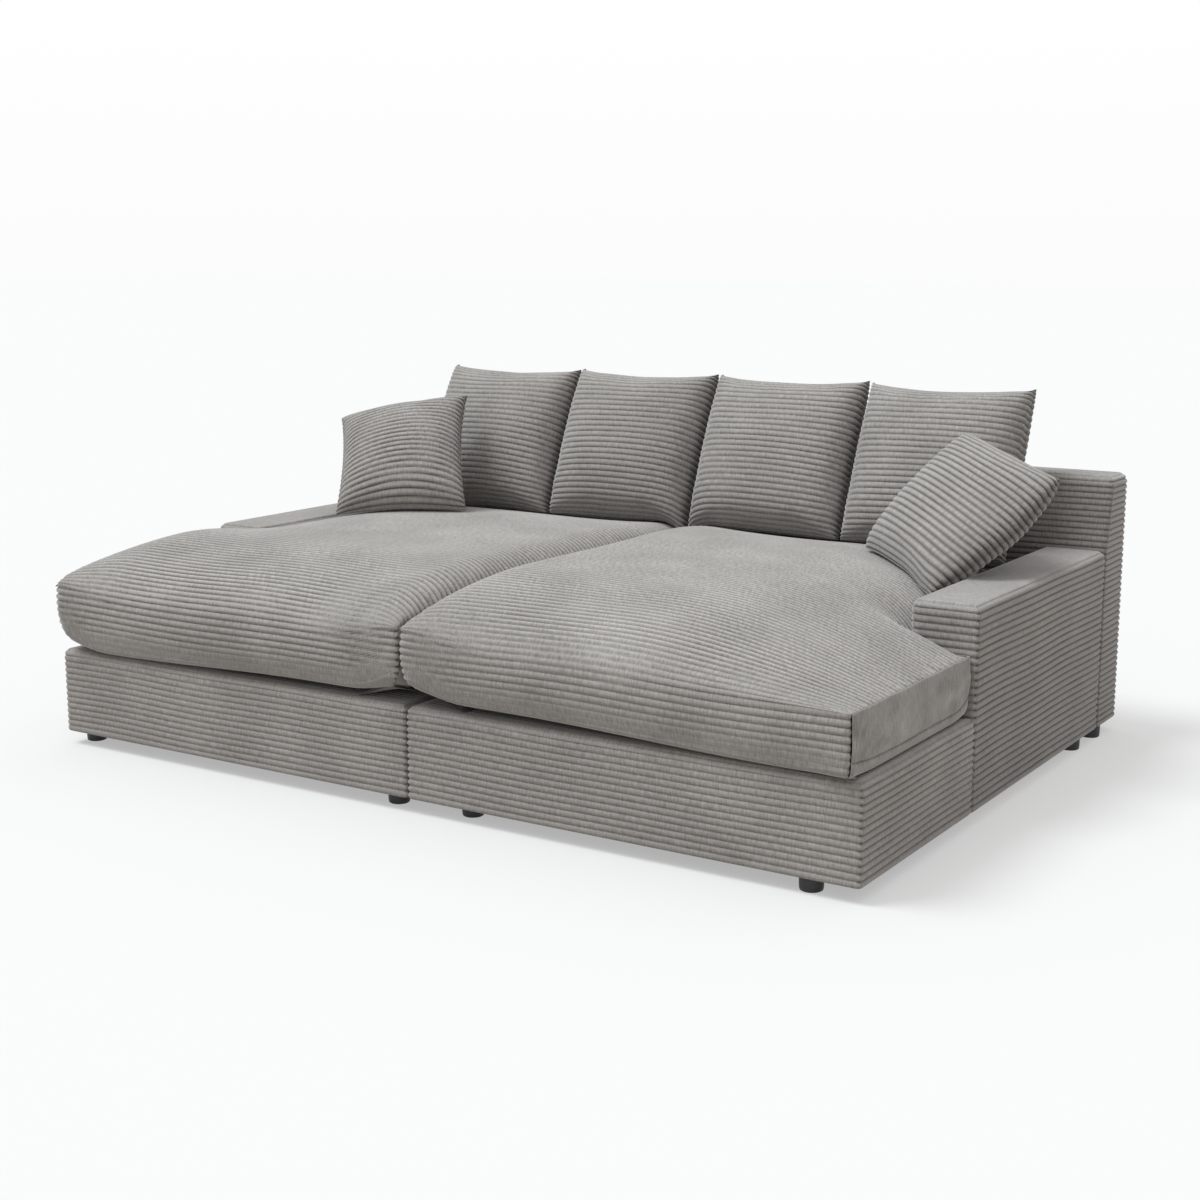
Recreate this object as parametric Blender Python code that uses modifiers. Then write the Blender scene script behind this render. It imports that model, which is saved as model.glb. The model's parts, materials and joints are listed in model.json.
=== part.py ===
"""Corduroy sofa: two deep chaise modules pushed together into one wide lounger.

Each module has a timber base on turned feet, a boxed arm, a boxed back with a raked face, a sprung
deck, an L-shaped seat cushion that reaches in front of the arm, two loose back pillows and one
throw pillow. The left module is the one that stays put, and the right one pulls away along +X.

Metres, +Z up, +X to the right as seen from the front, +Y to the back. The origin is the middle of
the footprint, on the floor. The modules mirror each other about the seam at X = 0, so most places
are given as a distance u from the seam and a distance y from the front of the base.
"""
import bpy
import bmesh
from math import cos, pi, radians, sin, sqrt
from mathutils import Euler, Vector
from mathutils.bvhtree import BVHTree

# Overall sizes
MODULE_WIDTH = 1.220          # seam to the outer face of one module
BASE_DEPTH = 1.579            # front of the base to the face of the back
BACK_DEPTH = 0.172            # the back at its foot
SEAT_OVERHANG = 0.030         # how far the seat cushion stands out over the base's front
FOOT_HEIGHT = 0.0367
BASE_HEIGHT = 0.236           # the upholstered box, without its feet
ARM_TOP = 0.547               # above the floor
ARM_WIDTH = 0.180
ARM_SETBACK = 0.632           # front of the base to the front of the arm
BACK_TOP = 0.748              # above the floor
BACK_RAKE = 0.041             # how far the back's face falls away above the arm

# Gaps and wall thicknesses
SEAT_GAP = 0.0003             # pieces that rest on or against each other
FRAME_GAP = 0.003             # timber behind its padded cover
CUSHION_GAP = 0.0045          # cushion edge to the arm, the back and the seam
COVER_THICKNESS = 0.010       # corduroy with its wadding
COVER_RADIUS = 0.016
COVER_SEGMENTS = 3
RAIL_THICKNESS = 0.025
RAIL_CHAMFER = 0.002
FRAME_CHAMFER = 0.007
BOARD_THICKNESS = 0.015       # walls of the arm and back carcasses
DECK_PAD_THICKNESS = 0.014
DUST_COVER_THICKNESS = 0.002
CUT_OVERRUN = 0.010
SMOOTH_ANGLE = radians(50.0)
MERGE_DISTANCE = 0.0001
FACING_DOWN = -0.9            # a face whose normal's Z is below this is a floor face

# Timber
CROSS_RAIL_SHARE = 0.50       # of the base's depth
ARM_WINDOWS = (3, 2)          # along the arm, up the arm
BACK_WINDOWS = (4, 2)
WINDOW_RAIL = 0.050           # timber left between two windows

# Sinuous springs
SPRINGS = 3
SPRING_WIRE_RADIUS = 0.002
SPRING_HALF_WIDTH = 0.026
SPRING_HALF_PITCH = 0.060
SPRING_BULGE_SHARE = 0.22     # of the half pitch, what makes each loop rounder than a sine wave
SPRING_POINTS_PER_LOOP = 4
SPRING_EDGE_MARGIN = 0.008    # spring end to the outer face of the rail it is clipped to

# Turned feet
FOOT_RADIUS = 0.028
FOOT_TAPER = 0.002
FOOT_ROUNDING = 0.004
FOOT_STEPS = 14
INNER_FOOT_INSETS = {"left": (0.077, 0.067), "right": (0.146, 0.078)}    # from seam, from front
OUTER_FOOT_INSETS = {"left": (0.044, 0.074), "right": (0.136, 0.045)}    # from outer face, front
REAR_FOOT_INSET = 0.060
ARM_FOOT_INSETS = (0.039, 0.114)           # from the outer face, from the back
BACK_FOOT_INSETS = (0.034, 0.048)          # from the outer face, from the back's face

# Connector at the seam: a sprung jaw on one module, a tongue on the other
CONNECTOR_SHARE = 0.42        # of the base's depth
STEEL_THICKNESS = 0.003
JAW_LENGTH = 0.060
JAW_WIDTH = 0.050
JAW_FLARE = 0.006
TONGUE_LENGTH = 0.034
TONGUE_WIDTH = 0.036
TONGUE_PLATE = 0.050          # the part of the tongue that is screwed to the rail

# Flat brackets that tie the arm and the back to the base
BRACKET_LENGTH = 0.120
BRACKET_WIDTH = 0.040
BRACKET_HOLE_RADIUS = 0.003
BRACKET_HOLE_SHARES = (-0.36, -0.16, 0.16, 0.36)    # of the bracket's length
HOLE_STEPS = 10

# Seat cushion
CUSHION_EDGE_INSETS = {"left": 0.006, "right": 0.015}    # base's outer face to the cushion's
CUSHION_SEAM_HEIGHT = 0.151   # top seam of the boxing above the base, mid way along
CUSHION_INNER_RISE = 0.055    # the seam climbs by this to the end at the other module
CUSHION_OUTER_RISES = {"left": 0.050, "right": 0}        # and by this to its outer end
CUSHION_RISE_REACH = 0.350
CUSHION_CROWN = 0.302         # top of the crown above the base
CUSHION_CORNER_RADIUS = 0.045
CUSHION_BAND_BULGE = 0.004
CUSHION_BULGE_SHARE = 0.50    # of the band's height, where it stands out most
CUSHION_UNDERCUT = 0.030      # the underside draws in by this all round
CUSHION_UNDER_LIFT = 0.014    # and its edge lifts by this
CUSHION_CORNER_LIFT = 0.045   # the front corner at the seam stands up by this as well
CUSHION_CORNER_REACH = 0.300
CUSHION_INNER_ROLL = 0.100    # how far each edge's roll reaches in
CUSHION_OUTER_ROLLS = {"left": 0.200, "right": 0.650}
CUSHION_FRONT_ROLL = 0.450
CUSHION_REAR_ROLL = 0.600
CUSHION_ARM_ROLLS = {"left": 0.300, "right": 0.060}
CUSHION_ARM_DROPS = {"left": 0.040, "right": 0.020}
CUSHION_CELLS = (14, 4, 8, 10)    # beside the arm, in the wing, before the arm, along it
CORNER_TOLERANCE = 1.001
MITRE_LIMIT = 0.50            # smallest cosine a mitred corner is drawn in by

# Loose back pillows
PILLOWS = 2
PILLOW_WIDTH = 0.5025
PILLOW_GAP = 0.0025
PILLOW_SPACING = PILLOW_WIDTH + PILLOW_GAP
REST_GAP = 0.0006             # under a pillow that has been set down
PILLOW_HEIGHT = 0.485
PILLOW_FRONT_CROWN = 0.120
PILLOW_REAR_CROWN = 0.140
PILLOW_LEAN = radians(24.0)
PILLOW_PULL_SHARES = (0.012, 0.085, 0.020)    # how far the sides, top and bottom are drawn in half way
PILLOW_FULLNESS = 0.90        # the swell's exponent: lower is fuller near the edges
PILLOW_CELLS = 14
PILLOW_EDGE = 0.004           # half the thickness of the sewn edge
SEATING_ROUNDS = 12           # down onto the cushion and back onto the back, by turns

# Throw pillows
THROW_SIZES = {"left": 0.420, "right": 0.430}
THROW_FRONT_CROWN = 0.085
THROW_REAR_CROWN = 0.068
THROW_PULL_SHARES = {"left": (0.085, 0.020, 0.020), "right": (0.045, 0.050, 0.020)}
THROW_DROOPS = {"left": 0.034, "right": 0.010}    # how far the outer top corner hangs in the plane
THROW_CELLS = 12
THROW_PLACES = {"left": (0.870, 0.484), "right": (0.936, 0.429)}    # centre: from seam, from back
THROW_TURNS = {
    "left": (radians(-43.9), radians(-9.8), radians(21.0)),
    "right": (radians(-47.2), radians(12.4), radians(-28.9)),
}

# Sizes that follow from those above
BASE_BOTTOM = FOOT_HEIGHT + SEAT_GAP
BASE_TOP = BASE_BOTTOM + BASE_HEIGHT
DEPTH = SEAT_OVERHANG + BASE_DEPTH + BACK_DEPTH
FRONT_Y = SEAT_OVERHANG - DEPTH / 2            # world Y of the base's front
ARM_INNER = MODULE_WIDTH - ARM_WIDTH
CUSHION_BOTTOM = BASE_TOP + SEAT_GAP
CUSHION_SEAM = BASE_TOP + CUSHION_SEAM_HEIGHT
CUSHION_RISE = CUSHION_CROWN - CUSHION_SEAM_HEIGHT
RAIL_BOTTOM = BASE_BOTTOM + DUST_COVER_THICKNESS + SEAT_GAP
PAD_TOP = BASE_TOP - COVER_THICKNESS - SEAT_GAP
PAD_BOTTOM = PAD_TOP - DECK_PAD_THICKNESS
SPRING_Z = PAD_BOTTOM - SEAT_GAP - SPRING_WIRE_RADIUS
RAIL_TOP = SPRING_Z - SPRING_WIRE_RADIUS - SEAT_GAP

SIDES = {"left": -1, "right": 1}
TURN_ORDER = "YXZ"            # a pillow rolls in its own plane, then leans, then turns about Z
TOUCH_STEPS = 6               # places tried along each edge when a pillow is set down

# name: base colour, roughness, metallic
FINISHES = {
    "corduroy": ((0.46, 0.44, 0.42), 0.95, 0.0),
    "timber": ((0.62, 0.46, 0.28), 0.70, 0.0),
    "plywood": ((0.70, 0.55, 0.37), 0.72, 0.0),
    "spring_steel": ((0.42, 0.42, 0.43), 0.35, 1.0),
    "zinc_steel": ((0.60, 0.60, 0.58), 0.40, 1.0),
    "felt": ((0.80, 0.78, 0.74), 0.95, 0.0),
    "dust_cloth": ((0.03, 0.03, 0.03), 0.90, 0.0),
    "foot_plastic": ((0.02, 0.02, 0.02), 0.45, 0.0),
}


def clear_scene():
    for obj in list(bpy.data.objects):
        bpy.data.objects.remove(obj, do_unlink=True)


def new_collection(name):
    collection = bpy.data.collections.new(name)
    bpy.context.scene.collection.children.link(collection)
    return collection


def finish_material(object_name, finish):
    colour, roughness, metallic = FINISHES[finish]
    material = bpy.data.materials.new(object_name + "_" + finish)
    material.use_nodes = True
    shader = material.node_tree.nodes["Principled BSDF"]
    shader.inputs["Base Color"].default_value = (*colour, 1.0)
    shader.inputs["Roughness"].default_value = roughness
    shader.inputs["Metallic"].default_value = metallic
    material.diffuse_color = (*colour, 1.0)
    return material


class Model:
    """Keeps the collections and the tree of empties that carry the moving bodies."""

    def __init__(self):
        self.parts = new_collection("corduroy_sofa")
        self.cutters = new_collection("cutters")
        self.bodies = {}

    def add_body(self, name, world, parent=None):
        empty = bpy.data.objects.new(name + "_axis", None)
        self.parts.objects.link(empty)
        origin = Vector(world)
        empty.location = origin
        if parent:
            parent_empty, parent_origin = self.bodies[parent]
            empty.parent = parent_empty
            empty.location = origin - parent_origin
        self.bodies[name] = (empty, origin)

    def add_part(self, name, data, finish, body, world=(0, 0, 0), turn=(0, 0, 0)):
        part = bpy.data.objects.new(name, data)
        self.parts.objects.link(part)
        data.materials.append(finish_material(name, finish))
        empty, origin = self.bodies[body]
        part.parent = empty
        part.location = Vector(world) - origin
        part.rotation_mode = TURN_ORDER
        part.rotation_euler = turn
        return part

    def add_cutter(self, name, low, high):
        centre, mesh = block_mesh(name, low, high)
        cutter = bpy.data.objects.new(name, mesh)
        self.cutters.objects.link(cutter)
        cutter.location = centre
        cutter.hide_render = True
        cutter.display_type = "WIRE"
        return cutter


def mesh_from(bm, name, smooth_angle=None):
    bmesh.ops.recalc_face_normals(bm, faces=bm.faces)
    mesh = bpy.data.meshes.new(name)
    bm.to_mesh(mesh)
    bm.free()
    if smooth_angle is not None:
        mesh.shade_smooth()
        mesh.set_sharp_from_angle(angle=smooth_angle)
    return mesh


def block_mesh(name, low, high):
    """A block between two corners, about its own centre; the centre is returned with it."""
    low, high = Vector(low), Vector(high)
    bm = bmesh.new()
    bmesh.ops.create_cube(bm, size=1.0)
    bmesh.ops.scale(bm, vec=high - low, verts=bm.verts)
    return (low + high) / 2, mesh_from(bm, name)


def prism_mesh(name, outline, start, end, plane, open_end=False):
    """An outline pushed from start to end along the axis that plane lacks: XY along Z, YZ along X."""
    bm = bmesh.new()
    if plane == "XY":
        points = [Vector((a, b, start)) for a, b in outline]
        push = Vector((0, 0, end - start))
    elif plane == "YZ":
        points = [Vector((start, a, b)) for a, b in outline]
        push = Vector((end - start, 0, 0))
    else:
        points = [Vector((a, start, b)) for a, b in outline]
        push = Vector((0, end - start, 0))
    face = bm.faces.new([bm.verts.new(point) for point in points])
    pushed = bmesh.ops.extrude_face_region(bm, geom=[face])["geom"]
    moved = [item for item in pushed if isinstance(item, bmesh.types.BMVert)]
    bmesh.ops.translate(bm, vec=push, verts=moved)
    if open_end:
        bmesh.ops.recalc_face_normals(bm, faces=bm.faces)
        bmesh.ops.delete(bm, geom=[face], context="FACES_ONLY")
    return mesh_from(bm, name)


def add_bevel(part, width, segments):
    bevel = part.modifiers.new("Bevel", "BEVEL")
    bevel.width = width
    bevel.segments = segments
    bevel.limit_method = "ANGLE"
    bevel.use_clamp_overlap = True


def add_shell(part, thickness):
    shell = part.modifiers.new("Solidify", "SOLIDIFY")
    shell.thickness = thickness
    shell.offset = -1.0
    shell.use_even_offset = True


def cut(part, cutter):
    boolean = part.modifiers.new("Cut", "BOOLEAN")
    boolean.operation = "DIFFERENCE"
    boolean.object = cutter


def world_y(y):
    """World Y of a distance y behind the base's front."""
    return FRONT_Y + y


def span(side, inner, outer):
    """World X of two distances from the seam, lowest first."""
    return sorted((SIDES[side] * inner, SIDES[side] * outer))


def add_block(model, name, finish, body, side, u_span, y_span, z_span, chamfer=0):
    x_low, x_high = span(side, *u_span)
    low = (x_low, world_y(y_span[0]), z_span[0])
    high = (x_high, world_y(y_span[1]), z_span[1])
    centre, mesh = block_mesh(name, low, high)
    part = model.add_part(name, mesh, finish, body, centre)
    if chamfer:
        add_bevel(part, chamfer, 1)
    return part


def base_outline(side, inset):
    """The base's L-shaped plan, drawn in by an inset: the wing reaches out in front of the arm."""
    seam = SEAT_GAP + inset
    outer = MODULE_WIDTH - inset
    arm = ARM_INNER - inset
    front = inset
    wing_rear = ARM_SETBACK - inset
    rear = BASE_DEPTH - inset
    corners = [(seam, front), (outer, front), (outer, wing_rear), (arm, wing_rear),
               (arm, rear), (seam, rear)]
    return [(SIDES[side] * u, world_y(y)) for u, y in corners]


def build_base_cover(model, side, body):
    name = side + "_base_cover"
    mesh = prism_mesh(name, base_outline(side, 0), BASE_BOTTOM, BASE_TOP, "XY", open_end=True)
    cover = model.add_part(name, mesh, "corduroy", body)
    add_bevel(cover, COVER_RADIUS, COVER_SEGMENTS)
    add_shell(cover, COVER_THICKNESS)


def build_deck(model, side, body):
    outline = base_outline(side, COVER_RADIUS + FRAME_GAP)
    pad = prism_mesh(side + "_deck_pad", outline, PAD_BOTTOM, PAD_TOP, "XY")
    model.add_part(side + "_deck_pad", pad, "felt", body)
    outline = base_outline(side, COVER_THICKNESS + FRAME_GAP)
    dust_top = BASE_BOTTOM + DUST_COVER_THICKNESS
    cloth = prism_mesh(side + "_dust_cover", outline, BASE_BOTTOM, dust_top, "XY")
    model.add_part(side + "_dust_cover", cloth, "dust_cloth", body)


def build_rails(model, side, body):
    """The base frame: a rail along each side of the L, and one across the middle."""
    skin = COVER_THICKNESS + FRAME_GAP
    seam_out = SEAT_GAP + skin
    seam_in = seam_out + RAIL_THICKNESS
    outer_out = MODULE_WIDTH - skin
    outer_in = outer_out - RAIL_THICKNESS
    arm_out = ARM_INNER - skin
    arm_in = arm_out - RAIL_THICKNESS
    front_out = skin
    front_in = front_out + RAIL_THICKNESS
    wing_out = ARM_SETBACK - skin
    wing_in = wing_out - RAIL_THICKNESS
    rear_out = BASE_DEPTH - skin
    rear_in = rear_out - RAIL_THICKNESS
    middle = BASE_DEPTH * CROSS_RAIL_SHARE
    middle_low = middle - RAIL_THICKNESS / 2
    middle_high = middle + RAIL_THICKNESS / 2
    gap = SEAT_GAP
    rails = {
        "front_rail": ((seam_out, outer_out), (front_out, front_in)),
        "wing_side_rail": ((outer_in, outer_out), (front_in + gap, wing_in - gap)),
        "wing_rear_rail": ((arm_in, outer_out), (wing_in, wing_out)),
        "outer_rail": ((arm_in, arm_out), (wing_out + gap, rear_in - gap)),
        "rear_rail": ((seam_out, arm_out), (rear_in, rear_out)),
        "inner_rail": ((seam_out, seam_in), (front_in + gap, rear_in - gap)),
        "cross_rail": ((seam_in + gap, arm_in - gap), (middle_low, middle_high)),
    }
    for name, (u_span, y_span) in rails.items():
        add_block(model, side + "_" + name, "timber", body, side, u_span, y_span,
                  (RAIL_BOTTOM, RAIL_TOP), RAIL_CHAMFER)


def spring_points(u, y_start, y_end):
    """A sinuous spring: a wave whose loops swell, because y runs back a little at each crossing."""
    loops = round((y_end - y_start) / SPRING_HALF_PITCH)
    steps = loops * SPRING_POINTS_PER_LOOP
    pitch = (y_end - y_start) / loops
    points = []
    for step in range(steps + 1):
        phase = pi * step / SPRING_POINTS_PER_LOOP
        swing = SPRING_HALF_WIDTH * sin(phase)
        y = y_start + pitch * phase / pi + pitch * SPRING_BULGE_SHARE * sin(2 * phase)
        points.append((u + swing, y))
    return points


def build_springs(model, side, body):
    skin = COVER_THICKNESS + FRAME_GAP
    low = SEAT_GAP + skin + RAIL_THICKNESS
    high = ARM_INNER - skin - RAIL_THICKNESS
    y_start = skin + SPRING_EDGE_MARGIN
    y_end = BASE_DEPTH - skin - SPRING_EDGE_MARGIN
    for index in range(SPRINGS):
        u = low + (high - low) * (index + 0.5) / SPRINGS
        name = side + "_spring_" + str(index + 1)
        curve = bpy.data.curves.new(name, "CURVE")
        curve.dimensions = "3D"
        curve.bevel_depth = SPRING_WIRE_RADIUS
        curve.bevel_resolution = 0
        curve.use_fill_caps = True
        points = spring_points(0, y_start, y_end)
        spline = curve.splines.new("POLY")
        spline.points.add(len(points) - 1)
        for point, (swing, y) in zip(spline.points, points):
            point.co = (swing, y - y_start, 0, 1)
        model.add_part(name, curve, "spring_steel", body,
                       (SIDES[side] * u, world_y(y_start), SPRING_Z))


def foot_mesh():
    """Half the section of a turned foot, from its top centre down its side to its bottom centre."""
    low = FOOT_RADIUS - FOOT_TAPER
    drop = FOOT_ROUNDING * (1 - sqrt(0.5))
    profile = [
        (0, FOOT_HEIGHT),
        (FOOT_RADIUS, FOOT_HEIGHT),
        (low, FOOT_ROUNDING),
        (low - drop, drop),
        (low - FOOT_ROUNDING, 0),
        (0, 0),
    ]
    bm = bmesh.new()
    verts = [bm.verts.new((radius, 0, z)) for radius, z in profile]
    for first, second in zip(verts, verts[1:]):
        bm.edges.new((first, second))
    mesh = bpy.data.meshes.new("foot")
    bm.to_mesh(mesh)
    bm.free()
    return mesh


def add_foot(model, name, body, side, u, y):
    foot = model.add_part(name, foot_mesh(), "foot_plastic", body, (SIDES[side] * u, world_y(y), 0))
    turn = foot.modifiers.new("Turn", "SCREW")
    turn.axis = "Z"
    turn.steps = FOOT_STEPS
    turn.render_steps = FOOT_STEPS
    turn.use_merge_vertices = True
    turn.merge_threshold = MERGE_DISTANCE
    turn.use_smooth_shade = False


def build_feet(model, side, body):
    outer_inset, outer_y = OUTER_FOOT_INSETS[side]
    arm_u, arm_y = ARM_FOOT_INSETS
    back_u, back_y = BACK_FOOT_INSETS
    rear_y = BASE_DEPTH - REAR_FOOT_INSET
    feet = {
        "front_inner_foot": INNER_FOOT_INSETS[side],
        "front_outer_foot": (MODULE_WIDTH - outer_inset, outer_y),
        "rear_inner_foot": (REAR_FOOT_INSET, rear_y),
        "arm_foot": (MODULE_WIDTH - arm_u, BASE_DEPTH - arm_y),
        "back_inner_foot": (REAR_FOOT_INSET, BASE_DEPTH + BACK_DEPTH - back_y),
        "back_outer_foot": (MODULE_WIDTH - back_u, BASE_DEPTH + back_y),
    }
    for name, (u, y) in feet.items():
        add_foot(model, side + "_" + name, body, side, u, y)


def cut_windows(model, part, name, along, up, through, grid, axis):
    """Cuts a grid of windows through a carcass, leaving rails of WINDOW_RAIL between them."""
    columns, rows = grid
    width = (along[1] - along[0] - WINDOW_RAIL * (columns + 1)) / columns
    height = (up[1] - up[0] - WINDOW_RAIL * (rows + 1)) / rows
    for column in range(columns):
        for row in range(rows):
            start = along[0] + WINDOW_RAIL + column * (width + WINDOW_RAIL)
            sill = up[0] + WINDOW_RAIL + row * (height + WINDOW_RAIL)
            if axis == "X":
                low = (through[0], start, sill)
                high = (through[1], start + width, sill + height)
            else:
                low = (start, through[0], sill)
                high = (start + width, through[1], sill + height)
            label = name + "_window_" + str(column) + "_" + str(row)
            cut(part, model.add_cutter(label, low, high))


def build_arm(model, side, body):
    """A plywood carcass with windows in its cheeks, inside a padded cover that is open below."""
    gap = SEAT_GAP
    x_low, x_high = span(side, ARM_INNER + gap, MODULE_WIDTH)
    y_low, y_high = world_y(ARM_SETBACK + gap), world_y(BASE_DEPTH - gap)
    outline = [(x_low, y_low), (x_high, y_low), (x_high, y_high), (x_low, y_high)]
    name = side + "_arm_cover"
    mesh = prism_mesh(name, outline, BASE_BOTTOM, ARM_TOP, "XY", open_end=True)
    cover = model.add_part(name, mesh, "corduroy", body)
    add_bevel(cover, COVER_RADIUS, COVER_SEGMENTS)
    add_shell(cover, COVER_THICKNESS)

    skin = COVER_THICKNESS + FRAME_GAP
    low = Vector((x_low + skin, y_low + skin, BASE_BOTTOM))
    high = Vector((x_high - skin, y_high - skin, ARM_TOP - COVER_THICKNESS - gap))
    centre, mesh = block_mesh(side + "_arm_frame", low, high)
    frame = model.add_part(side + "_arm_frame", mesh, "plywood", body, centre)
    add_bevel(frame, FRAME_CHAMFER, 1)
    wall = Vector((BOARD_THICKNESS, BOARD_THICKNESS, BOARD_THICKNESS))
    cut(frame, model.add_cutter(side + "_arm_hollow", low + wall, high - wall))
    cut_windows(model, frame, side + "_arm", (low.y, high.y), (low.z, high.z),
                (low.x - CUT_OVERRUN, high.x + CUT_OVERRUN), ARM_WINDOWS, "X")


def back_profile(inset, bottom_inset):
    """The back's side outline: upright to the arm's top, then raked to its own top."""
    rake_share = BACK_RAKE / (BACK_TOP - ARM_TOP)
    front = BASE_DEPTH + inset
    rear = BASE_DEPTH + BACK_DEPTH - inset
    bottom = BASE_BOTTOM + bottom_inset
    top = BACK_TOP - inset
    return [
        (world_y(front), bottom),
        (world_y(rear), bottom),
        (world_y(rear), top),
        (world_y(front + rake_share * (top - ARM_TOP)), top),
        (world_y(front), ARM_TOP),
    ]


def build_back(model, side, body):
    gap = SEAT_GAP
    x_low, x_high = span(side, gap, MODULE_WIDTH)
    name = side + "_back_cover"
    mesh = back_cover_mesh(name, x_low, x_high)
    cover = model.add_part(name, mesh, "corduroy", body)
    add_bevel(cover, COVER_RADIUS, COVER_SEGMENTS)
    add_shell(cover, COVER_THICKNESS)

    skin = COVER_THICKNESS + FRAME_GAP
    mesh = prism_mesh(side + "_back_frame", back_profile(skin, 0), x_low + skin, x_high - skin, "YZ")
    frame = model.add_part(side + "_back_frame", mesh, "plywood", body)
    add_bevel(frame, FRAME_CHAMFER, 1)
    wall = BOARD_THICKNESS
    y_front = world_y(BASE_DEPTH + skin)
    y_rear = world_y(BASE_DEPTH + BACK_DEPTH - skin)
    z_top = BACK_TOP - skin
    low = (x_low + skin + wall, y_front + BACK_RAKE + wall, BASE_BOTTOM + wall)
    high = (x_high - skin - wall, y_rear - wall, z_top - wall)
    cut(frame, model.add_cutter(side + "_back_hollow", low, high))
    cut_windows(model, frame, side + "_back", (x_low + skin, x_high - skin), (BASE_BOTTOM, z_top),
                (y_front - CUT_OVERRUN, y_rear + CUT_OVERRUN), BACK_WINDOWS, "Y")


def back_cover_mesh(name, x_low, x_high):
    """The back's outline as a cover: the prism without the face it stands on."""
    mesh = prism_mesh(name, back_profile(0, 0), x_low, x_high, "YZ")
    bm = bmesh.new()
    bm.from_mesh(mesh)
    floor_faces = [face for face in bm.faces if face.normal.z < FACING_DOWN]
    bmesh.ops.delete(bm, geom=floor_faces, context="FACES_ONLY")
    bm.to_mesh(mesh)
    bm.free()
    return mesh


def plate_curve(name, outline, holes, thickness):
    """A flat plate: an outline and its holes as one filled 2D curve."""
    curve = bpy.data.curves.new(name, "CURVE")
    curve.dimensions = "2D"
    curve.fill_mode = "BOTH"
    curve.extrude = thickness / 2
    loops = [outline]
    for centre_x, centre_y in holes:
        turns = [2 * pi * step / HOLE_STEPS for step in range(HOLE_STEPS)]
        loops.append([(centre_x + BRACKET_HOLE_RADIUS * cos(turn),
                       centre_y + BRACKET_HOLE_RADIUS * sin(turn)) for turn in turns])
    for loop in loops:
        spline = curve.splines.new("POLY")
        spline.points.add(len(loop) - 1)
        spline.use_cyclic_u = True
        for point, (x, y) in zip(spline.points, loop):
            point.co = (x, y, 0, 1)
    return curve


def rectangle(half_length, half_width):
    return [(-half_length, -half_width), (half_length, -half_width),
            (half_length, half_width), (-half_length, half_width)]


def build_brackets(model, side, body):
    """Two flat plates under the base, one across to the arm and one back to the back."""
    outline = rectangle(BRACKET_LENGTH / 2, BRACKET_WIDTH / 2)
    holes = [(share * BRACKET_LENGTH, 0) for share in BRACKET_HOLE_SHARES]
    z = BASE_BOTTOM - SEAT_GAP - STEEL_THICKNESS / 2
    places = {
        "arm_bracket": (ARM_INNER, (ARM_SETBACK + BASE_DEPTH) / 2, 0),
        "back_bracket": (MODULE_WIDTH / 2, BASE_DEPTH, pi / 2),
    }
    for name, (u, y, turn) in places.items():
        plate = plate_curve(side + "_" + name, outline, holes, STEEL_THICKNESS)
        model.add_part(side + "_" + name, plate, "zinc_steel", body,
                       (SIDES[side] * u, world_y(y), z), (0, 0, turn))


def build_connector(model):
    """The jaw grips the tongue from above and below, and opens towards the right module."""
    gap = SEAT_GAP
    steel = STEEL_THICKNESS
    y_middle = world_y(BASE_DEPTH * CONNECTOR_SHARE)
    top = BASE_BOTTOM - gap
    slot_top = top - steel
    slot_bottom = slot_top - steel - 2 * gap
    back = -JAW_LENGTH
    mouth = -gap
    lip = mouth - JAW_FLARE
    section = [
        (back, top), (mouth, top), (mouth, slot_top), (back + steel, slot_top),
        (back + steel, slot_bottom), (lip, slot_bottom), (mouth, slot_bottom - JAW_FLARE / 2),
        (mouth, slot_bottom - JAW_FLARE / 2 - steel), (lip, slot_bottom - steel),
        (back, slot_bottom - steel),
    ]
    jaw = prism_mesh("left_connector_jaw", section, y_middle - JAW_WIDTH / 2,
                     y_middle + JAW_WIDTH / 2, "XZ")
    model.add_part("left_connector_jaw", jaw, "zinc_steel", "left_chaise")

    half = TONGUE_WIDTH / 2
    outline = [
        (-TONGUE_LENGTH, -half / 2), (-TONGUE_LENGTH + half / 2, -half), (TONGUE_PLATE, -half),
        (TONGUE_PLATE, half), (-TONGUE_LENGTH + half / 2, half), (-TONGUE_LENGTH, half / 2),
    ]
    holes = [(TONGUE_PLATE / 2, -half / 2), (TONGUE_PLATE / 2, half / 2)]
    tongue = plate_curve("right_connector_tongue", outline, holes, steel)
    model.add_part("right_connector_tongue", tongue, "zinc_steel", "right_chaise",
                   (0, y_middle, slot_top - gap - steel / 2))


def roll(distance, reach):
    """A quarter ellipse: 0 and upright at an edge, 1 and level once reach is passed."""
    rest = 1 - min(max(distance / reach, 0), 1)
    return sqrt(1 - rest * rest)


def ease(distance, reach):
    """A parabola: 0 at an edge with a slope, 1 and level once reach is passed."""
    rest = 1 - min(max(distance / reach, 0), 1)
    return 1 - rest * rest


CUSHION_U = {side: (CUSHION_GAP, ARM_INNER - CUSHION_GAP, MODULE_WIDTH - CUSHION_EDGE_INSETS[side])
             for side in SIDES}
CUSHION_Y = (CUSHION_BAND_BULGE - SEAT_OVERHANG, ARM_SETBACK - CUSHION_GAP, BASE_DEPTH - CUSHION_GAP)


def cushion_seam(side, u):
    """Height of the boxing's top seam, which climbs towards the stuffed ends."""
    inner, arm, outer = CUSHION_U[side]
    at_inner = 1 - ease(u - inner, CUSHION_RISE_REACH)
    at_outer = 1 - ease(outer - u, CUSHION_RISE_REACH)
    return CUSHION_SEAM + CUSHION_INNER_RISE * at_inner + CUSHION_OUTER_RISES[side] * at_outer


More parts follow.
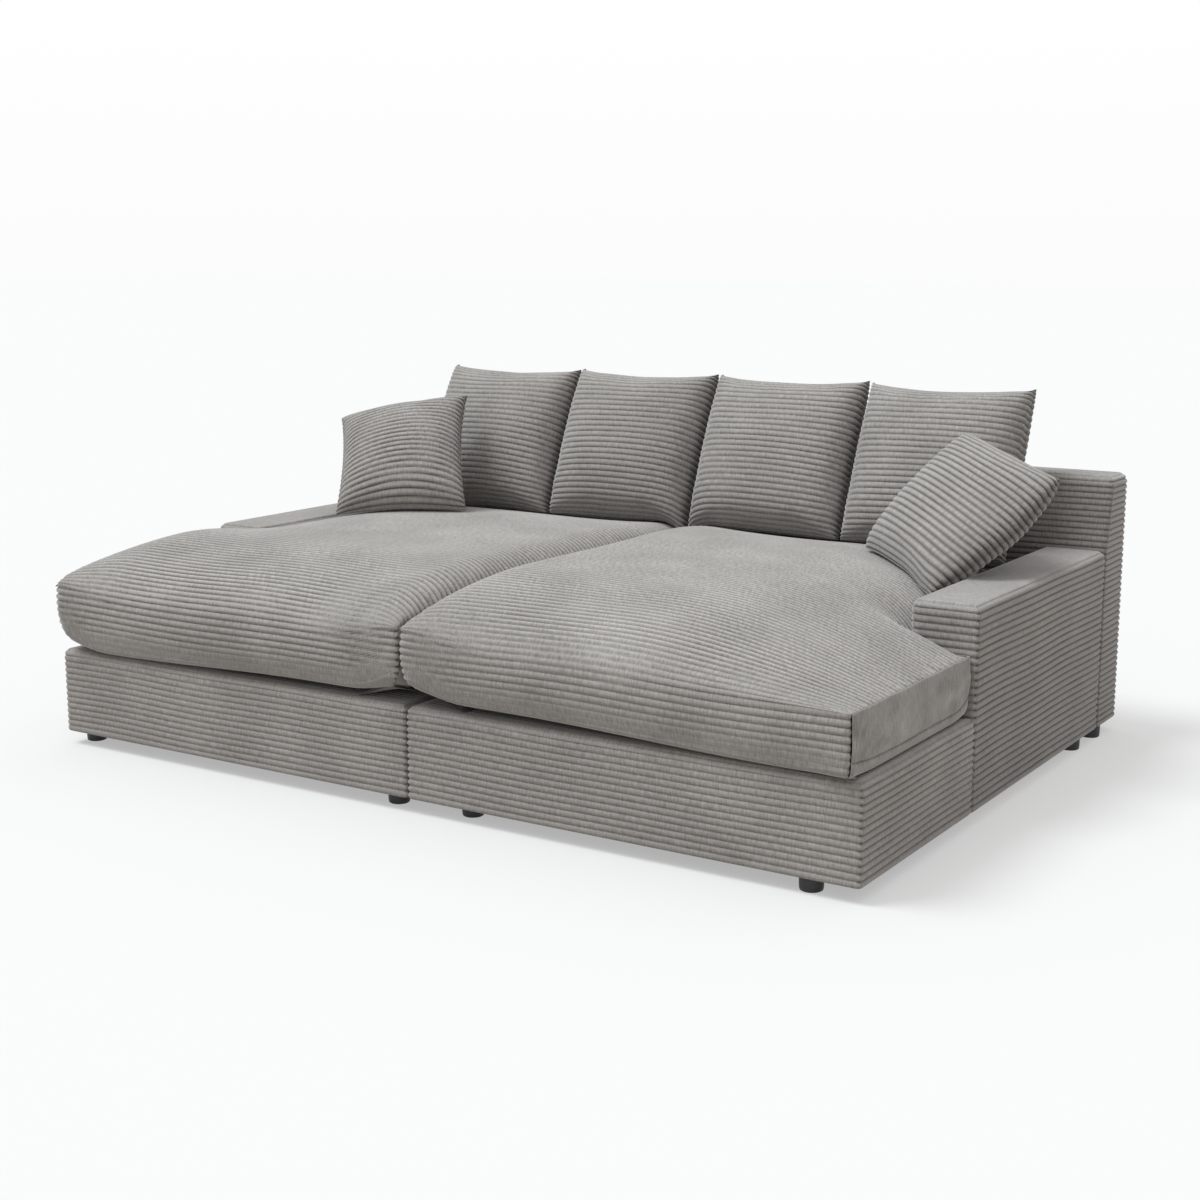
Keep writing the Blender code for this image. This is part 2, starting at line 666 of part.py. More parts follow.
def cushion_top(side, u, y):
    """Height of the seat cushion's crown over the floor."""
    inner, arm, outer = CUSHION_U[side]
    front, wing, rear = CUSHION_Y
    outer_fall = roll if side == "left" else ease
    across = roll(u - inner, CUSHION_INNER_ROLL) * outer_fall(outer - u, CUSHION_OUTER_ROLLS[side])
    along = roll(y - front, CUSHION_FRONT_ROLL) * roll(rear - y, CUSHION_REAR_ROLL)
    beside_arm = Vector((max(arm - u, 0), max(wing - y, 0))).length
    drop = CUSHION_ARM_DROPS[side] * (1 - ease(beside_arm, CUSHION_ARM_ROLLS[side]))
    seam = cushion_seam(side, u)
    crown = CUSHION_SEAM + CUSHION_RISE
    return max(seam + (crown - seam) * across * along - drop, seam)


def graded(low, high, cells, near_low=True, near_high=True):
    """Stations between two values, closer together near the ends that are asked for."""
    stations = []
    for index in range(cells + 1):
        t = index / cells
        if near_low and near_high:
            t = (1 - cos(pi * t)) / 2
        elif near_high:
            t = sin(pi * t / 2)
        elif near_low:
            t = 1 - cos(pi * t / 2)
        stations.append(low + (high - low) * t)
    return stations


def rounded_corner(side, u, y):
    """Moves a plan point so that the cushion's five outer corners are round."""
    inner, arm, outer = CUSHION_U[side]
    front, wing, rear = CUSHION_Y
    radius = CUSHION_CORNER_RADIUS
    corners = [(inner, front, 1, 1), (outer, front, -1, 1), (outer, wing, -1, -1),
               (arm, rear, -1, -1), (inner, rear, 1, -1)]
    for corner_u, corner_y, step_u, step_y in corners:
        centre_u = corner_u + step_u * radius
        centre_y = corner_y + step_y * radius
        along_u = (centre_u - u) * step_u
        along_y = (centre_y - y) * step_y
        reach = radius * CORNER_TOLERANCE
        if 0 < along_u <= reach and 0 < along_y <= reach:
            shrink = max(along_u, along_y) / sqrt(along_u ** 2 + along_y ** 2)
            return (centre_u - step_u * along_u * shrink, centre_y - step_y * along_y * shrink)
    return (u, y)


def inward(loop, index):
    """The inward direction at a point of a plan loop that runs anticlockwise, mitred."""
    before, here, after = (Vector(loop[(index + step) % len(loop)]) for step in (-1, 0, 1))
    first = (here - before).normalized()
    second = (after - here).normalized()
    total = Vector((-first.y, first.x)) + Vector((-second.y, second.x))
    total.normalize()
    return total / max(total.dot(Vector((-first.y, first.x))), MITRE_LIMIT)


def cushion_mesh(name, side):
    """The L-shaped seat cushion: a crowned top sheet, a boxing band and a drawn-in underside."""
    inner, arm, outer = CUSHION_U[side]
    front, wing, rear = CUSHION_Y
    beside, in_wing, before, along = CUSHION_CELLS
    us = graded(inner, arm, beside) + graded(arm, outer, in_wing, near_low=False)[1:]
    ys = graded(front, wing, before) + graded(wing, rear, along, near_low=False)[1:]
    sign = SIDES[side]
    bm = bmesh.new()
    grid = {}
    plan = {}
    for i, u in enumerate(us):
        for j, y in enumerate(ys):
            if i > beside and j > before:
                continue
            plan[i, j] = rounded_corner(side, u, y)
            x, rounded_y = sign * plan[i, j][0], world_y(plan[i, j][1])
            grid[i, j] = bm.verts.new((x, rounded_y, cushion_top(side, u, y)))
    for i in range(len(us) - 1):
        for j in range(len(ys) - 1):
            if i >= beside and j >= before:
                continue
            bm.faces.new((grid[i, j], grid[i + 1, j], grid[i + 1, j + 1], grid[i, j + 1]))
    last_u, last_y = len(us) - 1, len(ys) - 1
    loop = [(i, 0) for i in range(last_u)]
    loop += [(last_u, j) for j in range(before)]
    loop += [(i, before) for i in range(last_u, beside, -1)]
    loop += [(beside, j) for j in range(before, last_y)]
    loop += [(i, last_y) for i in range(beside, 0, -1)]
    loop += [(0, j) for j in range(last_y, 0, -1)]
    plan_loop = [plan[key] for key in loop]
    edge = [grid[key] for key in loop]
    seam = [vert.co.z for vert in edge]
    rings = [cushion_ring(bm, plan_loop, seam, sign, -CUSHION_BAND_BULGE,
                          CUSHION_BULGE_SHARE),
             cushion_ring(bm, plan_loop, seam, sign, 0, 0),
             cushion_ring(bm, plan_loop, seam, sign, CUSHION_UNDERCUT, None)]
    for upper, lower in zip([edge] + rings, rings):
        for index in range(len(loop)):
            after = (index + 1) % len(loop)
            bm.faces.new((upper[index], upper[after], lower[after], lower[index]))
    bm.faces.new(rings[-1])
    return mesh_from(bm, name, SMOOTH_ANGLE)


def cushion_ring(bm, plan_loop, seam, sign, inset, height_share):
    """One ring of the band: at a share of its height, or on the base where the share is None."""
    ring = []
    for index, point in enumerate(plan_loop):
        u, y = Vector(point) + inward(plan_loop, index) * inset
        corner = Vector((u - CUSHION_GAP, y - CUSHION_Y[0])).length
        lift = CUSHION_CORNER_LIFT * (1 - ease(corner, CUSHION_CORNER_REACH))
        low = CUSHION_BOTTOM + CUSHION_UNDER_LIFT + lift
        if height_share is None:
            z = CUSHION_BOTTOM
        else:
            z = low + (seam[index] - low) * height_share
        ring.append(bm.verts.new((sign * u, world_y(y), z)))
    return ring


def pillow_height(s, t):
    """The swell of a pillow over its sewn edge, 0 at the edge and 1 in the middle."""
    across = sqrt(max(1 - s * s, 0))
    up = sqrt(max(1 - t * t, 0))
    return (across * up) ** PILLOW_FULLNESS


def pillow_mesh(name, width, height, front, rear, pull_shares, cells, droop=0, outer=1):
    """A knife-edge pillow in the XZ plane, facing -Y: two swollen sheets and their sewn edge.

    Its top corner on the outer side, which is +X or -X, hangs by droop.
    """
    bm = bmesh.new()
    side_pull, top_pull, bottom_pull = pull_shares
    stations = [-cos(pi * index / cells) for index in range(cells + 1)]
    sheets = []
    for swell, direction in ((front, -1), (rear, 1)):
        sheet = {}
        for i, s in enumerate(stations):
            for j, t in enumerate(stations):
                edge_pull = top_pull if t > 0 else bottom_pull
                x = s * width / 2 * (1 - side_pull * (1 - t * t))
                z = t * height / 2 * (1 - edge_pull * (1 - s * s))
                z -= droop * (1 + outer * s) / 2 * (1 + t) / 2
                y = direction * (PILLOW_EDGE + swell * pillow_height(s, t))
                sheet[i, j] = bm.verts.new((x, y, z))
        for i in range(cells):
            for j in range(cells):
                bm.faces.new((sheet[i, j], sheet[i + 1, j], sheet[i + 1, j + 1], sheet[i, j + 1]))
        sheets.append(sheet)
    edge = [(i, 0) for i in range(cells)] + [(cells, j) for j in range(cells)]
    edge += [(i, cells) for i in range(cells, 0, -1)] + [(0, j) for j in range(cells, 0, -1)]
    for here, after in zip(edge, edge[1:] + edge[:1]):
        bm.faces.new((sheets[0][here], sheets[0][after], sheets[1][after], sheets[1][here]))
    return mesh_from(bm, name, SMOOTH_ANGLE)


def surface_tree(mesh):
    return BVHTree.FromPolygons([vert.co for vert in mesh.vertices],
                                [polygon.vertices for polygon in mesh.polygons])


def support_height(seat_tree, side, x, y):
    """What lies under a point: the seat cushion's crown, the arm's top or the base."""
    hit = seat_tree.ray_cast(Vector((x, y, BACK_TOP)), Vector((0, 0, -1)))[0]
    if hit:
        return hit.z
    return ARM_TOP if SIDES[side] * x > ARM_INNER - CUSHION_GAP else BASE_TOP


def touch_points(mesh, turn):
    """A turned pillow's points that may touch something, along all its edges."""
    rotation = Euler(turn, TURN_ORDER).to_matrix()
    places = [vert.co for vert in mesh.vertices]
    for edge in mesh.edges:
        start, end = (places[index] for index in edge.vertices)
        places += [start.lerp(end, share / TOUCH_STEPS) for share in range(1, TOUCH_STEPS)]
    return [rotation @ place for place in places]


def seated_z(points, seat_tree, side, x, y):
    """How high a pillow's centre goes for it to lie just clear of what is under it."""
    heights = [support_height(seat_tree, side, x + point.x, y + point.y) - point.z
               for point in points]
    return max(heights) + REST_GAP


def seated_y(points, z):
    """How far back a pillow's centre goes for it to lie just clear of the raked back."""
    rake_share = BACK_RAKE / (BACK_TOP - ARM_TOP)
    rooms = [world_y(BASE_DEPTH) + rake_share * max(z + point.z - ARM_TOP, 0) - point.y
             for point in points]
    return min(rooms) - SEAT_GAP


def build_back_pillows(model, side, seat_body, seat_tree):
    turn = (-PILLOW_LEAN, 0, 0)
    for index in range(PILLOWS):
        name = side + "_back_pillow_" + str(index + 1)
        mesh = pillow_mesh(name, PILLOW_WIDTH, PILLOW_HEIGHT, PILLOW_FRONT_CROWN,
                           PILLOW_REAR_CROWN, PILLOW_PULL_SHARES, PILLOW_CELLS)
        x = SIDES[side] * PILLOW_SPACING * (index + 0.5)
        y = world_y(BASE_DEPTH) - PILLOW_REAR_CROWN
        points = touch_points(mesh, turn)
        for _ in range(SEATING_ROUNDS):
            z = seated_z(points, seat_tree, side, x, y)
            y = seated_y(points, z)
        model.add_body(name, (x, y, z), seat_body)
        model.add_part(name, mesh, "corduroy", name, (x, y, z), turn)


def build_throw(model, side, pillow_body, seat_tree):
    name = side + "_throw_pillow"
    size = THROW_SIZES[side]
    mesh = pillow_mesh(name, size, size, THROW_FRONT_CROWN, THROW_REAR_CROWN,
                       THROW_PULL_SHARES[side], THROW_CELLS, THROW_DROOPS[side], SIDES[side])
    turn = THROW_TURNS[side]
    x = SIDES[side] * THROW_PLACES[side][0]
    y = world_y(BASE_DEPTH - THROW_PLACES[side][1])
    z = seated_z(touch_points(mesh, turn), seat_tree, side, x, y)
    model.add_body(name, (x, y, z), pillow_body)
    model.add_part(name, mesh, "corduroy", name, (x, y, z), turn)


def build_module(model, side):
    body = side + "_chaise"
    build_base_cover(model, side, body)
    build_deck(model, side, body)
    build_rails(model, side, body)
    build_springs(model, side, body)
    build_feet(model, side, body)
    build_arm(model, side, body)
    build_back(model, side, body)
    build_brackets(model, side, body)

    seat = side + "_seat_cushion"
    middle = (SIDES[side] * MODULE_WIDTH / 2, world_y(BASE_DEPTH / 2), BASE_TOP)
    model.add_body(seat, middle, body)
    mesh = cushion_mesh(seat, side)
    model.add_part(seat, mesh, "corduroy", seat)
    seat_tree = surface_tree(mesh)
    build_back_pillows(model, side, seat, seat_tree)
    build_throw(model, side, side + "_back_pillow_2", seat_tree)


def main():
    clear_scene()
    model = Model()
    model.add_body("left_chaise", (0, 0, 0))
    model.add_body("right_chaise", (0, 0, 0), "left_chaise")
    for side in SIDES:
        build_module(model, side)
    build_connector(model)


main()
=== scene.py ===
"""Corduroy sofa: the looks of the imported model.

Every padded surface is a fine grid whose ribs stand up as real geometry. Lengths are metres, in the
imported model's frame: +X to the right as seen from the front, +Y to the back, +Z up. Most places on
a module are given as a distance u from the seam between the modules and y from the base's front.
"""

import bpy
import bmesh
import json
import numpy as np
from math import cos, pi, radians, sin
from mathutils import Euler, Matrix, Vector


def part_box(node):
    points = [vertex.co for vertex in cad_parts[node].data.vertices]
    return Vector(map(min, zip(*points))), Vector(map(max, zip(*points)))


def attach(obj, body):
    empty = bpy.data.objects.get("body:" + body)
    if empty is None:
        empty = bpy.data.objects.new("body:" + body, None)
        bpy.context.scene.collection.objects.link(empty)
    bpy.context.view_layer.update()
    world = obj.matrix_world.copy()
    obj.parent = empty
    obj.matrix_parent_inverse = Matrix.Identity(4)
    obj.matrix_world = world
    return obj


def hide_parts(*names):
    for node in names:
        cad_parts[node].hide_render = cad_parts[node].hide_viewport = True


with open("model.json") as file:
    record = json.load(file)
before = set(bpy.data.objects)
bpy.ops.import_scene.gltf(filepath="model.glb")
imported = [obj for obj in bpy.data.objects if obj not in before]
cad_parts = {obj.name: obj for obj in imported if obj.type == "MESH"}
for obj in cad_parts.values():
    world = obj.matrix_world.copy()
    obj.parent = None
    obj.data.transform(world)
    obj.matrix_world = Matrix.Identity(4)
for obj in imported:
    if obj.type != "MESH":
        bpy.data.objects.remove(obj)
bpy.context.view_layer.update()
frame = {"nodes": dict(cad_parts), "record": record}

SIDES = {"left": -1, "right": 1}

# Corduroy
RIB_PITCH = 0.0176            # groove to groove
RIB_HEIGHT = 0.0049
WALL_RIB_HEIGHT = 0.0044      # base, arms and backs, where the cloth is stretched on a frame
WALL_PITCHES = {"base": 0.0169, "arm": 0.0178, "back": 0.0164}
WALL_CONTRASTS = {"base": (0.10, 0.80), "arm": (0.45, 0.95), "back": (0.50, 0.95)}  # front, others: how much of the painted groove shade and crest highlight each has
WALL_SHADES = {"base": (0.96, 1.0), "arm": (1.0, 0.62), "back": (0.50, 0.70)}    # front, others: painted shade, a darker colour where less light falls
WALL_STRAY = (0.14, 0.28)     # how much of a pitch the ribs wander, and over how many metres
SEAT_STRAY = (0.30, 0.30, 43)    # the same, and the seed
PILLOW_STRAY = (0.22, 0.22)
PILLOW_SEEDS = (51, 71)       # of the wandering and the lumps
FRONT_CONTRASTS = {"left": 0.35, "right": 0.20}    # how much of the shade the cushions' fronts have
FRONT_RELIEFS = {"left": 0.78, "right": 0.62}
FAN_REACH = 0.45              # how far back the ribs fan out where the front's upper seam rises
PILLOW_CONTRAST = 0.35        # how much of the shade the back pillows have
# how much darker the throw pillows' colour is: painted shade
THROW_SHADE = 0.86
SCALLOP = 0.0065              # how far a pillow's edge is drawn in at each groove
SCALLOP_REACH = 0.011
SEAT_RIB_HEIGHT = 0.0084
RIB_ROUNDNESS = 1.10          # exponent of the half round: lower is flatter on top
RIB_SHADE_FALL = 1.25            # exponent of the painted shade's fall from the crest's painted highlight to the groove
CALM_LEVEL = 0.58             # the shade where the cloth is stretched smooth
DULL_LEVEL = 0.38             # the shade where it is smooth and hangs in its own shadow
RIB_ROWS = (0.0, 0.055, 0.14, 0.29, 0.5, 0.71, 0.86, 0.945)    # places across one rib
FRONT_ROWS = 14               # rows to a rib where the ribs cross the rows
SEAM_TUCK = 0.007             # how far a panel's edge turns in at a seam
SEAM_PINCH = 0.0004           # how deep the sewn corner is drawn in
SEAM_WIDTH = 0.0060
SEAM_RELIEF = 1.80            # how much deeper the grooves are there
SEAM_CONTRAST = 0.7           # how much of the missing contrast comes back there
END_RELIEF = 0.90             # how much deeper the seat's grooves are at their ends
END_RELIEF_REACH = 0.014
PUCKER = 0.0030               # small creases along the cushions' side seams
PUCKER_REACH = 0.032
END_ROUND = 0.0065            # rounding of the rib ends at a sewn edge
END_SHADE = 0.6               # how much darker they are there
SMALL_GAP = 0.0006
WELD_REACH = 0.00001

# Boxed pieces: base, arm and back
(_, BASE_FRONT, BASE_BOTTOM), (_, BASE_REAR, BASE_TOP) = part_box("left_base_cover")
MODULE_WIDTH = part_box("right_base_cover")[1].x
(ARM_INNER, ARM_FRONT, _), (_, _, ARM_TOP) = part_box("right_arm_cover")
_, (_, BACK_REAR, BACK_TOP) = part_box("right_back_cover")
TOPS = {"base": BASE_TOP, "arm": ARM_TOP, "back": BACK_TOP}
TOP_EDGES = {"base": 0.023, "arm": 0.026, "back": 0.028}    # rounding along the top edges
TOP_RELIEFS = {"base": 0.8, "arm": 0.22, "back": 0.5}    # how much of the ribs' depth the tops have
TOP_SAGS = {"base": 0.0, "arm": 0.003, "back": 0.0}
TOP_SEEDS = {"base": (12, 13), "arm": (22,), "back": (32,)}
TOP_CELL = 0.06
WALL_SEEDS = {"base": 11, "arm": 21, "back": 31}
WALL_CELL = 0.045
WALL_ENDS = (0.0025, 0.006, 0.012)    # columns close to a corner
BACK_RAKE = 0.041             # how far the back's face falls away above the arm
CORNER_RADIUS = 0.008         # rounding of the sewn vertical corners
BASE_CORNERS = {"left": (0.018, 0.3), "right": (0.008, 1)}    # the outer front one, and its seam
SOFT_CORNER_RADIUS = 0.028    # rounding of the corners that the cloth wraps without a seam
SMOOTH_RIBS = 1.9             # how many ribs fade out below a rounded top edge
HEM = 0.012                   # cloth turned under at the bottom
TOP_LAP = 0.010               # how far the walls' cloth runs in under the top's
TOP_SINK = 0.0025             # and how deep under it

# Seat cushion, as in the part's source
CUSHION_GAP = 0.0045
EDGE_INSETS = {"left": 0.006, "right": 0.015}
SEAT_OVERHANG = 0.030
BAND_BULGE = 0.004
SEAM_HEIGHT = 0.151
CROWN_HEIGHT = 0.302
INNER_RISE = 0.055
OUTER_RISES = {"left": 0.050, "right": 0}
RISE_REACH = 0.350
UNDERCUT = 0.030
UNDER_LIFT = 0.014
FRONT_TUCK = 0.005            # how much further the underside is drawn in at the front
FRONT_LIFT = 0.006
FRONT_LEAN = 0.014            # how far the front panel falls back to its lower edge
HOVER = 0.019                 # how high the front's lower edge stands off the base by the seam
HOVER_SPANS = (0.30, 1.05)    # full up to the first distance from the seam, none from the second
HOVER_DEPTH = 0.250           # how far back it fades out
CORNER_HOVERS = {"left": (0.030, 0.020), "right": (0.030, 0.0)}    # more at the inner, outer corner
CORNER_HOVER_SPAN = 0.170
CORNER_HOVER_FALL = 1.5
CORNER_RISES = {"left": (0.028, 0.062), "right": (0.028, 0.010)}    # the roll is larger there
CORNER_SPAN = 0.150
CORNER_TUCK = 0.050
CORNER_FALL = 1.7
CUSHION_CORNERS = {"left": (0.012, 0.034), "right": (0.016, 0.018)}
END_DROOPS = {"left": (0.010, 0.022), "right": (0.010, 0.0)}    # the seam drops at its very ends
END_DROOP_SPAN = 0.045
REAR_CORNER = 0.030
WING_CORNER = 0.012
BEAD_PLACE = 0.004            # from a wrapped corner's arc back to the seam behind it
BEAD_WIDTH = 0.0035
BEAD_DEPTH = 0.003
INNER_ROLL = 0.100
OUTER_ROLLS = {"left": 0.200, "right": 0.650}
FRONT_ROLL = 0.450
REAR_ROLL = 0.600
ARM_ROLLS = {"left": 0.300, "right": 0.165}
ARM_DROPS = {"left": 0.040, "right": 0.085}
ARM_SETBACKS = {"left": 0.0, "right": 0.085}    # how far behind the arm's front the drop is full
LEAN_SPAN = 0.12              # from the cushion's ends to where its front panel leans in full
LEAN_FADE = 0.05              # how far back from the front it leans
TUCK_FADE = 0.12              # and is tucked and lifted more
SHARE_CELLS = 40              # cells of the seat's profile, of the underside's roll and the band
DEPTH_CELLS = 900             # and along its top
TOP_CELLS = (48, 14)          # across the seat before the back and before the arm
UNDERSIDE_CELLS = 12
SEAT_LUMPS = 0.0035
SEAT_LUMP_SCALE = 0.34
SEAT_SEEDS = {"left": 41, "right": 42}
PATCHES = (0.22, 44)          # scale and seed of the noise, as for those that follow
PUCKER_NOISE = (0.018, 45)
FOLD_NOISE = (0.16, 47)
CREASE_NOISES = ((0.016, 48), (0.045, 49))
LOW_FRONT = (0.10, 0.12, 0.30)    # share of the band where ribs come back, its sway and its span
LOW_FRONT_FADE = 0.85         # how much of the ribs is gone below it
LOW_FRONT_END = 0.09          # but not so near the ends
FRONT_RELIEF_FADE = 0.05      # how far back FRONT_RELIEFS fades out
FRONT_CONTRAST_FADE = 0.10    # and FRONT_CONTRASTS
CROWN_FADE = 0.34             # how much of the ribs is gone on the crown, at most
CROWN_FADE_STARTS = (0.88, 0.55)    # from which share of the crown and how far back
ARM_SIDE_INSET = 0.004        # how far in the wall beside the arm stands at its foot
WING_LIFT = 0.030             # how far the band's foot rises at the corner before the arm
WING_LIFT_SPAN = 0.10
FOLD_SHARE = 0.125            # where the fold runs along the band, as a share of its height
FOLD_WIDTH = 0.022
FOLD_DEPTH = 0.0045
FOLD_SWAY = 0.018
FOLD_SHADE = 0.45
CREASE_DEPTH = 0.0016         # small creases in the band's loose cloth
CREASE_SHADE = 0.26
BEAD_SHADE = 0.5
WRAPPED_CORNERS = {"left": (1, 1), "right": (1, 0)}    # the ribs run round the inner, outer corner
WRAP_FADE = 0.030             # behind the front, where the side seam sets in again
UNDERSIDE_LAP = 0.110         # how far the flat underside runs in behind the rolled edge

# Pillows, as in the part's source
PILLOW_WIDTH = 0.5025
PILLOW_HEIGHT = 0.485
PILLOW_CROWNS = (0.120, 0.140)
PILLOW_PULL_SHARES = (0.012, 0.085, 0.020)    # how far sides, top and bottom are drawn in
PILLOW_LEAN = radians(24.0)
PILLOW_EDGE = 0.004
PILLOW_FULLNESS = (0.78, 0.90)    # the exponents of front's and rear's swell: lower is fuller
PILLOW_BLUNT = 0.004          # how much of a corner's reach is rounded off
THROW_ARCHES = {"left": 0.13, "right": 0.0}    # how far the ribs rise in the middle
THROW_BULGES = {"left": (0.0, 0.0), "right": (0.050, 0.016)}    # the outer side, out and back
THROW_SHEARS = {"left": 0.0, "right": 0.10}    # how far the top edge runs out past the bottom one
SETTLE = 0.034                # how far a pillow's lower edge sinks to meet the seat
SETTLE_GAP = 0.0016
SETTLE_MARGIN = 0.004         # how much more the rest keeps clear
SETTLE_SHARE = 0.45           # how far up a pillow it is moved for that
PILLOW_COLUMNS = 65
PILLOW_END_ROUND = 0.006
LUMP_HEIGHT = 0.0014          # soft lumps in a pillow's sheets
LUMP_SCALE = 0.10
THROW_SIZES = {"left": 0.420, "right": 0.430}
THROW_CROWNS = (0.085, 0.068)
THROW_PULL_SHARES = {"left": (0.085, 0.020, 0.020), "right": (0.045, 0.050, 0.020)}
THROW_DROOPS = {"left": 0.034, "right": 0.010}
THROW_TURNS = {
    "left": (radians(-43.9), radians(-9.8), radians(21.0)),
    "right": (radians(-47.2), radians(12.4), radians(-28.9)),
}
TURN_ORDER = "YXZ"
STUFFING_CELLS = 32           # grid of the cloth simulation, each way
STUFFING_SHRINK = 0.94        # the pad starts this much thinner and swells
STUFFING_FRAMES = 18
STUFFING_CLOTH = {"quality": 6, "mass": 0.25, "tension_stiffness": 12,
                  "compression_stiffness": 12, "bending_stiffness": 0.6, "use_pressure": True,
                  "uniform_pressure_force": 3.5, "shrink_min": -0.02}
STUFFING_OUT = 0.004          # how far a point may move out of the part's form
STUFFING_IN = 0.012           # and into it
STUFFING_SLIDE = 0.003        # and along it

# Feet and dust covers
FOOT_PROFILE = ((0.0, 1.0), (0.90, 1.0), (0.97, 0.97), (1.0, 0.88), (0.985, 0.30), (0.965, 0.12),
                (0.93, 0.035), (0.86, 0.0), (0.0, 0.0))    # shares of the radius and the height
FOOT_STEPS = 56
FOOT_SHARP = radians(50)
DUST_LIFT = 0.0005
DUST_SAG = 0.004
DUST_SAG_REACH = 0.15
DUST_WRINKLE = 0.0008
DUST_WRINKLE_REACH = 0.05
DUST_WRINKLE_SCALE = 0.12
DUST_SEED = 61

# Looks
# Colours of the rib level: the dark groove is painted shade, the light crest a painted highlight
GROOVE_SHADE_COLOUR = (0.098, 0.090, 0.084)
FLANK_COLOUR = (0.236, 0.223, 0.212)
CREST_HIGHLIGHT_COLOUR = (0.388, 0.375, 0.361)
FLOOR_SIZE = 60
FLOOR_COLOUR = (0.44, 0.411, 0.383)
FLOOR_SEEN = (0.377, 0.375, 0.373)    # to the camera, with a glow of its own
FLOOR_LIFT = 0.42
SKY_LIGHT = (-0.05, 0.95, 0.0, 1.05)    # two heights of the way out, and the light at each
SKY_SEEN = (0.0, 0.16, 0.970, 1.01)    # the same for the wall that the camera sees
SUNS = (("key", (-0.50, -0.34, 1.0), 2.36, 26, (0.95, 1.0, 1.03)),
        ("front_fill", (0.35, -1.0, 0.30), 0.36, 70, (1.0, 0.965, 0.93)))

# Camera, solved from the photograph's straight edges
CAMERA_PLACE = (2.7595, -4.2878, 1.3810)
CAMERA_YAW = radians(32.62)
CAMERA_PITCH = radians(-10.928)
CAMERA_LENS = 55.35           # mm
CAMERA_SENSOR = 36


def soft_noise(points, scale, seed):
    """Smooth noise from about -1 to 1 with features about scale metres across."""
    random = np.random.default_rng(seed)
    total = np.zeros(points.shape[:-1])
    waves = 10
    for _ in range(waves):
        direction = random.normal(size=3)
        direction *= random.uniform(0.6, 1.5) * pi / (scale * np.linalg.norm(direction))
        total += np.sin(points @ direction + random.uniform(0, 2 * pi))
    return total / np.sqrt(waves / 2) / 2


def crest(phase):
    """A rib's height, 0 in the groove and 1 on the crest. Grooves lie at whole phases."""
    away = 2 * np.abs(phase - np.floor(phase) - 0.5)
    return np.sqrt(np.clip(1 - away * away, 0, 1)) ** RIB_ROUNDNESS


def rib_shade_and_highlight(phase):
    """How light a rib is painted: 0 is painted shade in the groove, 1 painted highlight on the
    crest.
    """
    away = 2 * np.abs(phase - np.floor(phase) - 0.5)
    return 1 - away ** RIB_SHADE_FALL


def unit(vectors):
    return vectors / np.maximum(np.linalg.norm(vectors, axis=-1, keepdims=True), 1e-12)


def grid_normals(points, outward):
    across = np.gradient(points, axis=1)
    up = np.gradient(points, axis=0)
    return unit(np.cross(across, up)) * outward


def smooth_step(values):
    values = np.clip(values, 0, 1)
    return values * values * (3 - 2 * values)


def fading(values):
    return 1 - smooth_step(values)


def rib_phases(ribs):
    """Where the rows of a panel with this many ribs lie, counted in ribs."""
    return np.append((np.arange(ribs)[:, None] + np.array(RIB_ROWS)).reshape(-1), ribs)


def strayed(phase, points, amount, scale, seed, last=None):
    """The phases of a grid's points, wandering a little as woven ribs do, but not at its ends."""
    phases = np.repeat(phase[:, None], points.shape[1], axis=1) if phase.ndim == 1 else phase
    last = phase.max() if last is None else last
    calm = np.clip(np.minimum(phases, last - phases), 0, 1)
    return phases + amount * calm * soft_noise(points, scale, seed)


def raised(points, phase, outward, height=RIB_HEIGHT, relief=1.0, ends=0.0, calm=CALM_LEVEL,
           dents=0.0):
    """The grid with its grooves sunk in; rows run across the ribs. Also gives the shade's level.

    relief scales the grooves point by point, ends, from 0 to 1, rounds the ribs over, calm is the
    level where there is no relief, and dents are depths sunk in as well.
    """
    normals = grid_normals(points, outward)
    step = np.linalg.norm(np.gradient(points, axis=0), axis=-1)
    turn = np.abs(np.gradient(phase, axis=0))
    room = np.clip(step / np.maximum(turn, 1e-6) / RIB_PITCH, 0.15, 1)
    depth = height * room * (1 - crest(phase)) * relief + END_ROUND * room * ends + dents
    level = calm + (rib_shade_and_highlight(phase) - calm) * np.clip(relief, 0, 1)
    return points - normals * depth[..., None], level * (1 - END_SHADE * ends)


def roll(distance, reach):
    """Rises from 0 at an edge as a quarter circle does, to 1 at the reach."""
    rest = 1 - np.clip(distance / reach, 0, 1)
    return np.sqrt(1 - rest * rest)


def ease(distance, reach):
    """Rises from 0 at an edge as a parabola does, to 1 at the reach."""
    rest = 1 - np.clip(distance / reach, 0, 1)
    return 1 - rest * rest


def rounded_over(distance, reach=END_ROUND):
    """How far a rib's end has turned down at a distance from its sewn edge, from 0 to 1."""
    return 1 - roll(distance, reach)


def running_length(points, axis):
    """Distance run along one axis of a grid, on its middle line, in metres."""
    middle = points.shape[1 - axis] // 2
    line = points[:, middle] if axis == 0 else points[middle]
    steps = np.linalg.norm(np.diff(line, axis=0), axis=-1)
    return np.concatenate([[0], np.cumsum(steps)])


def quads(index, outward):
    """The faces between a grid's points, facing the way that outward, 1 or -1, says."""
    corners = [index[:-1, :-1], index[:-1, 1:], index[1:, 1:], index[1:, :-1]]
    return np.stack(corners[::outward], axis=-1)


def add_object(name, data):
    made = bpy.data.objects.new(name, data)
    bpy.context.scene.collection.objects.link(made)
    return made


def put_in_place(piece, node, body):
    """Puts a padded piece in the place of its CAD node, on its body."""
    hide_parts(node)
    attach(piece, body)


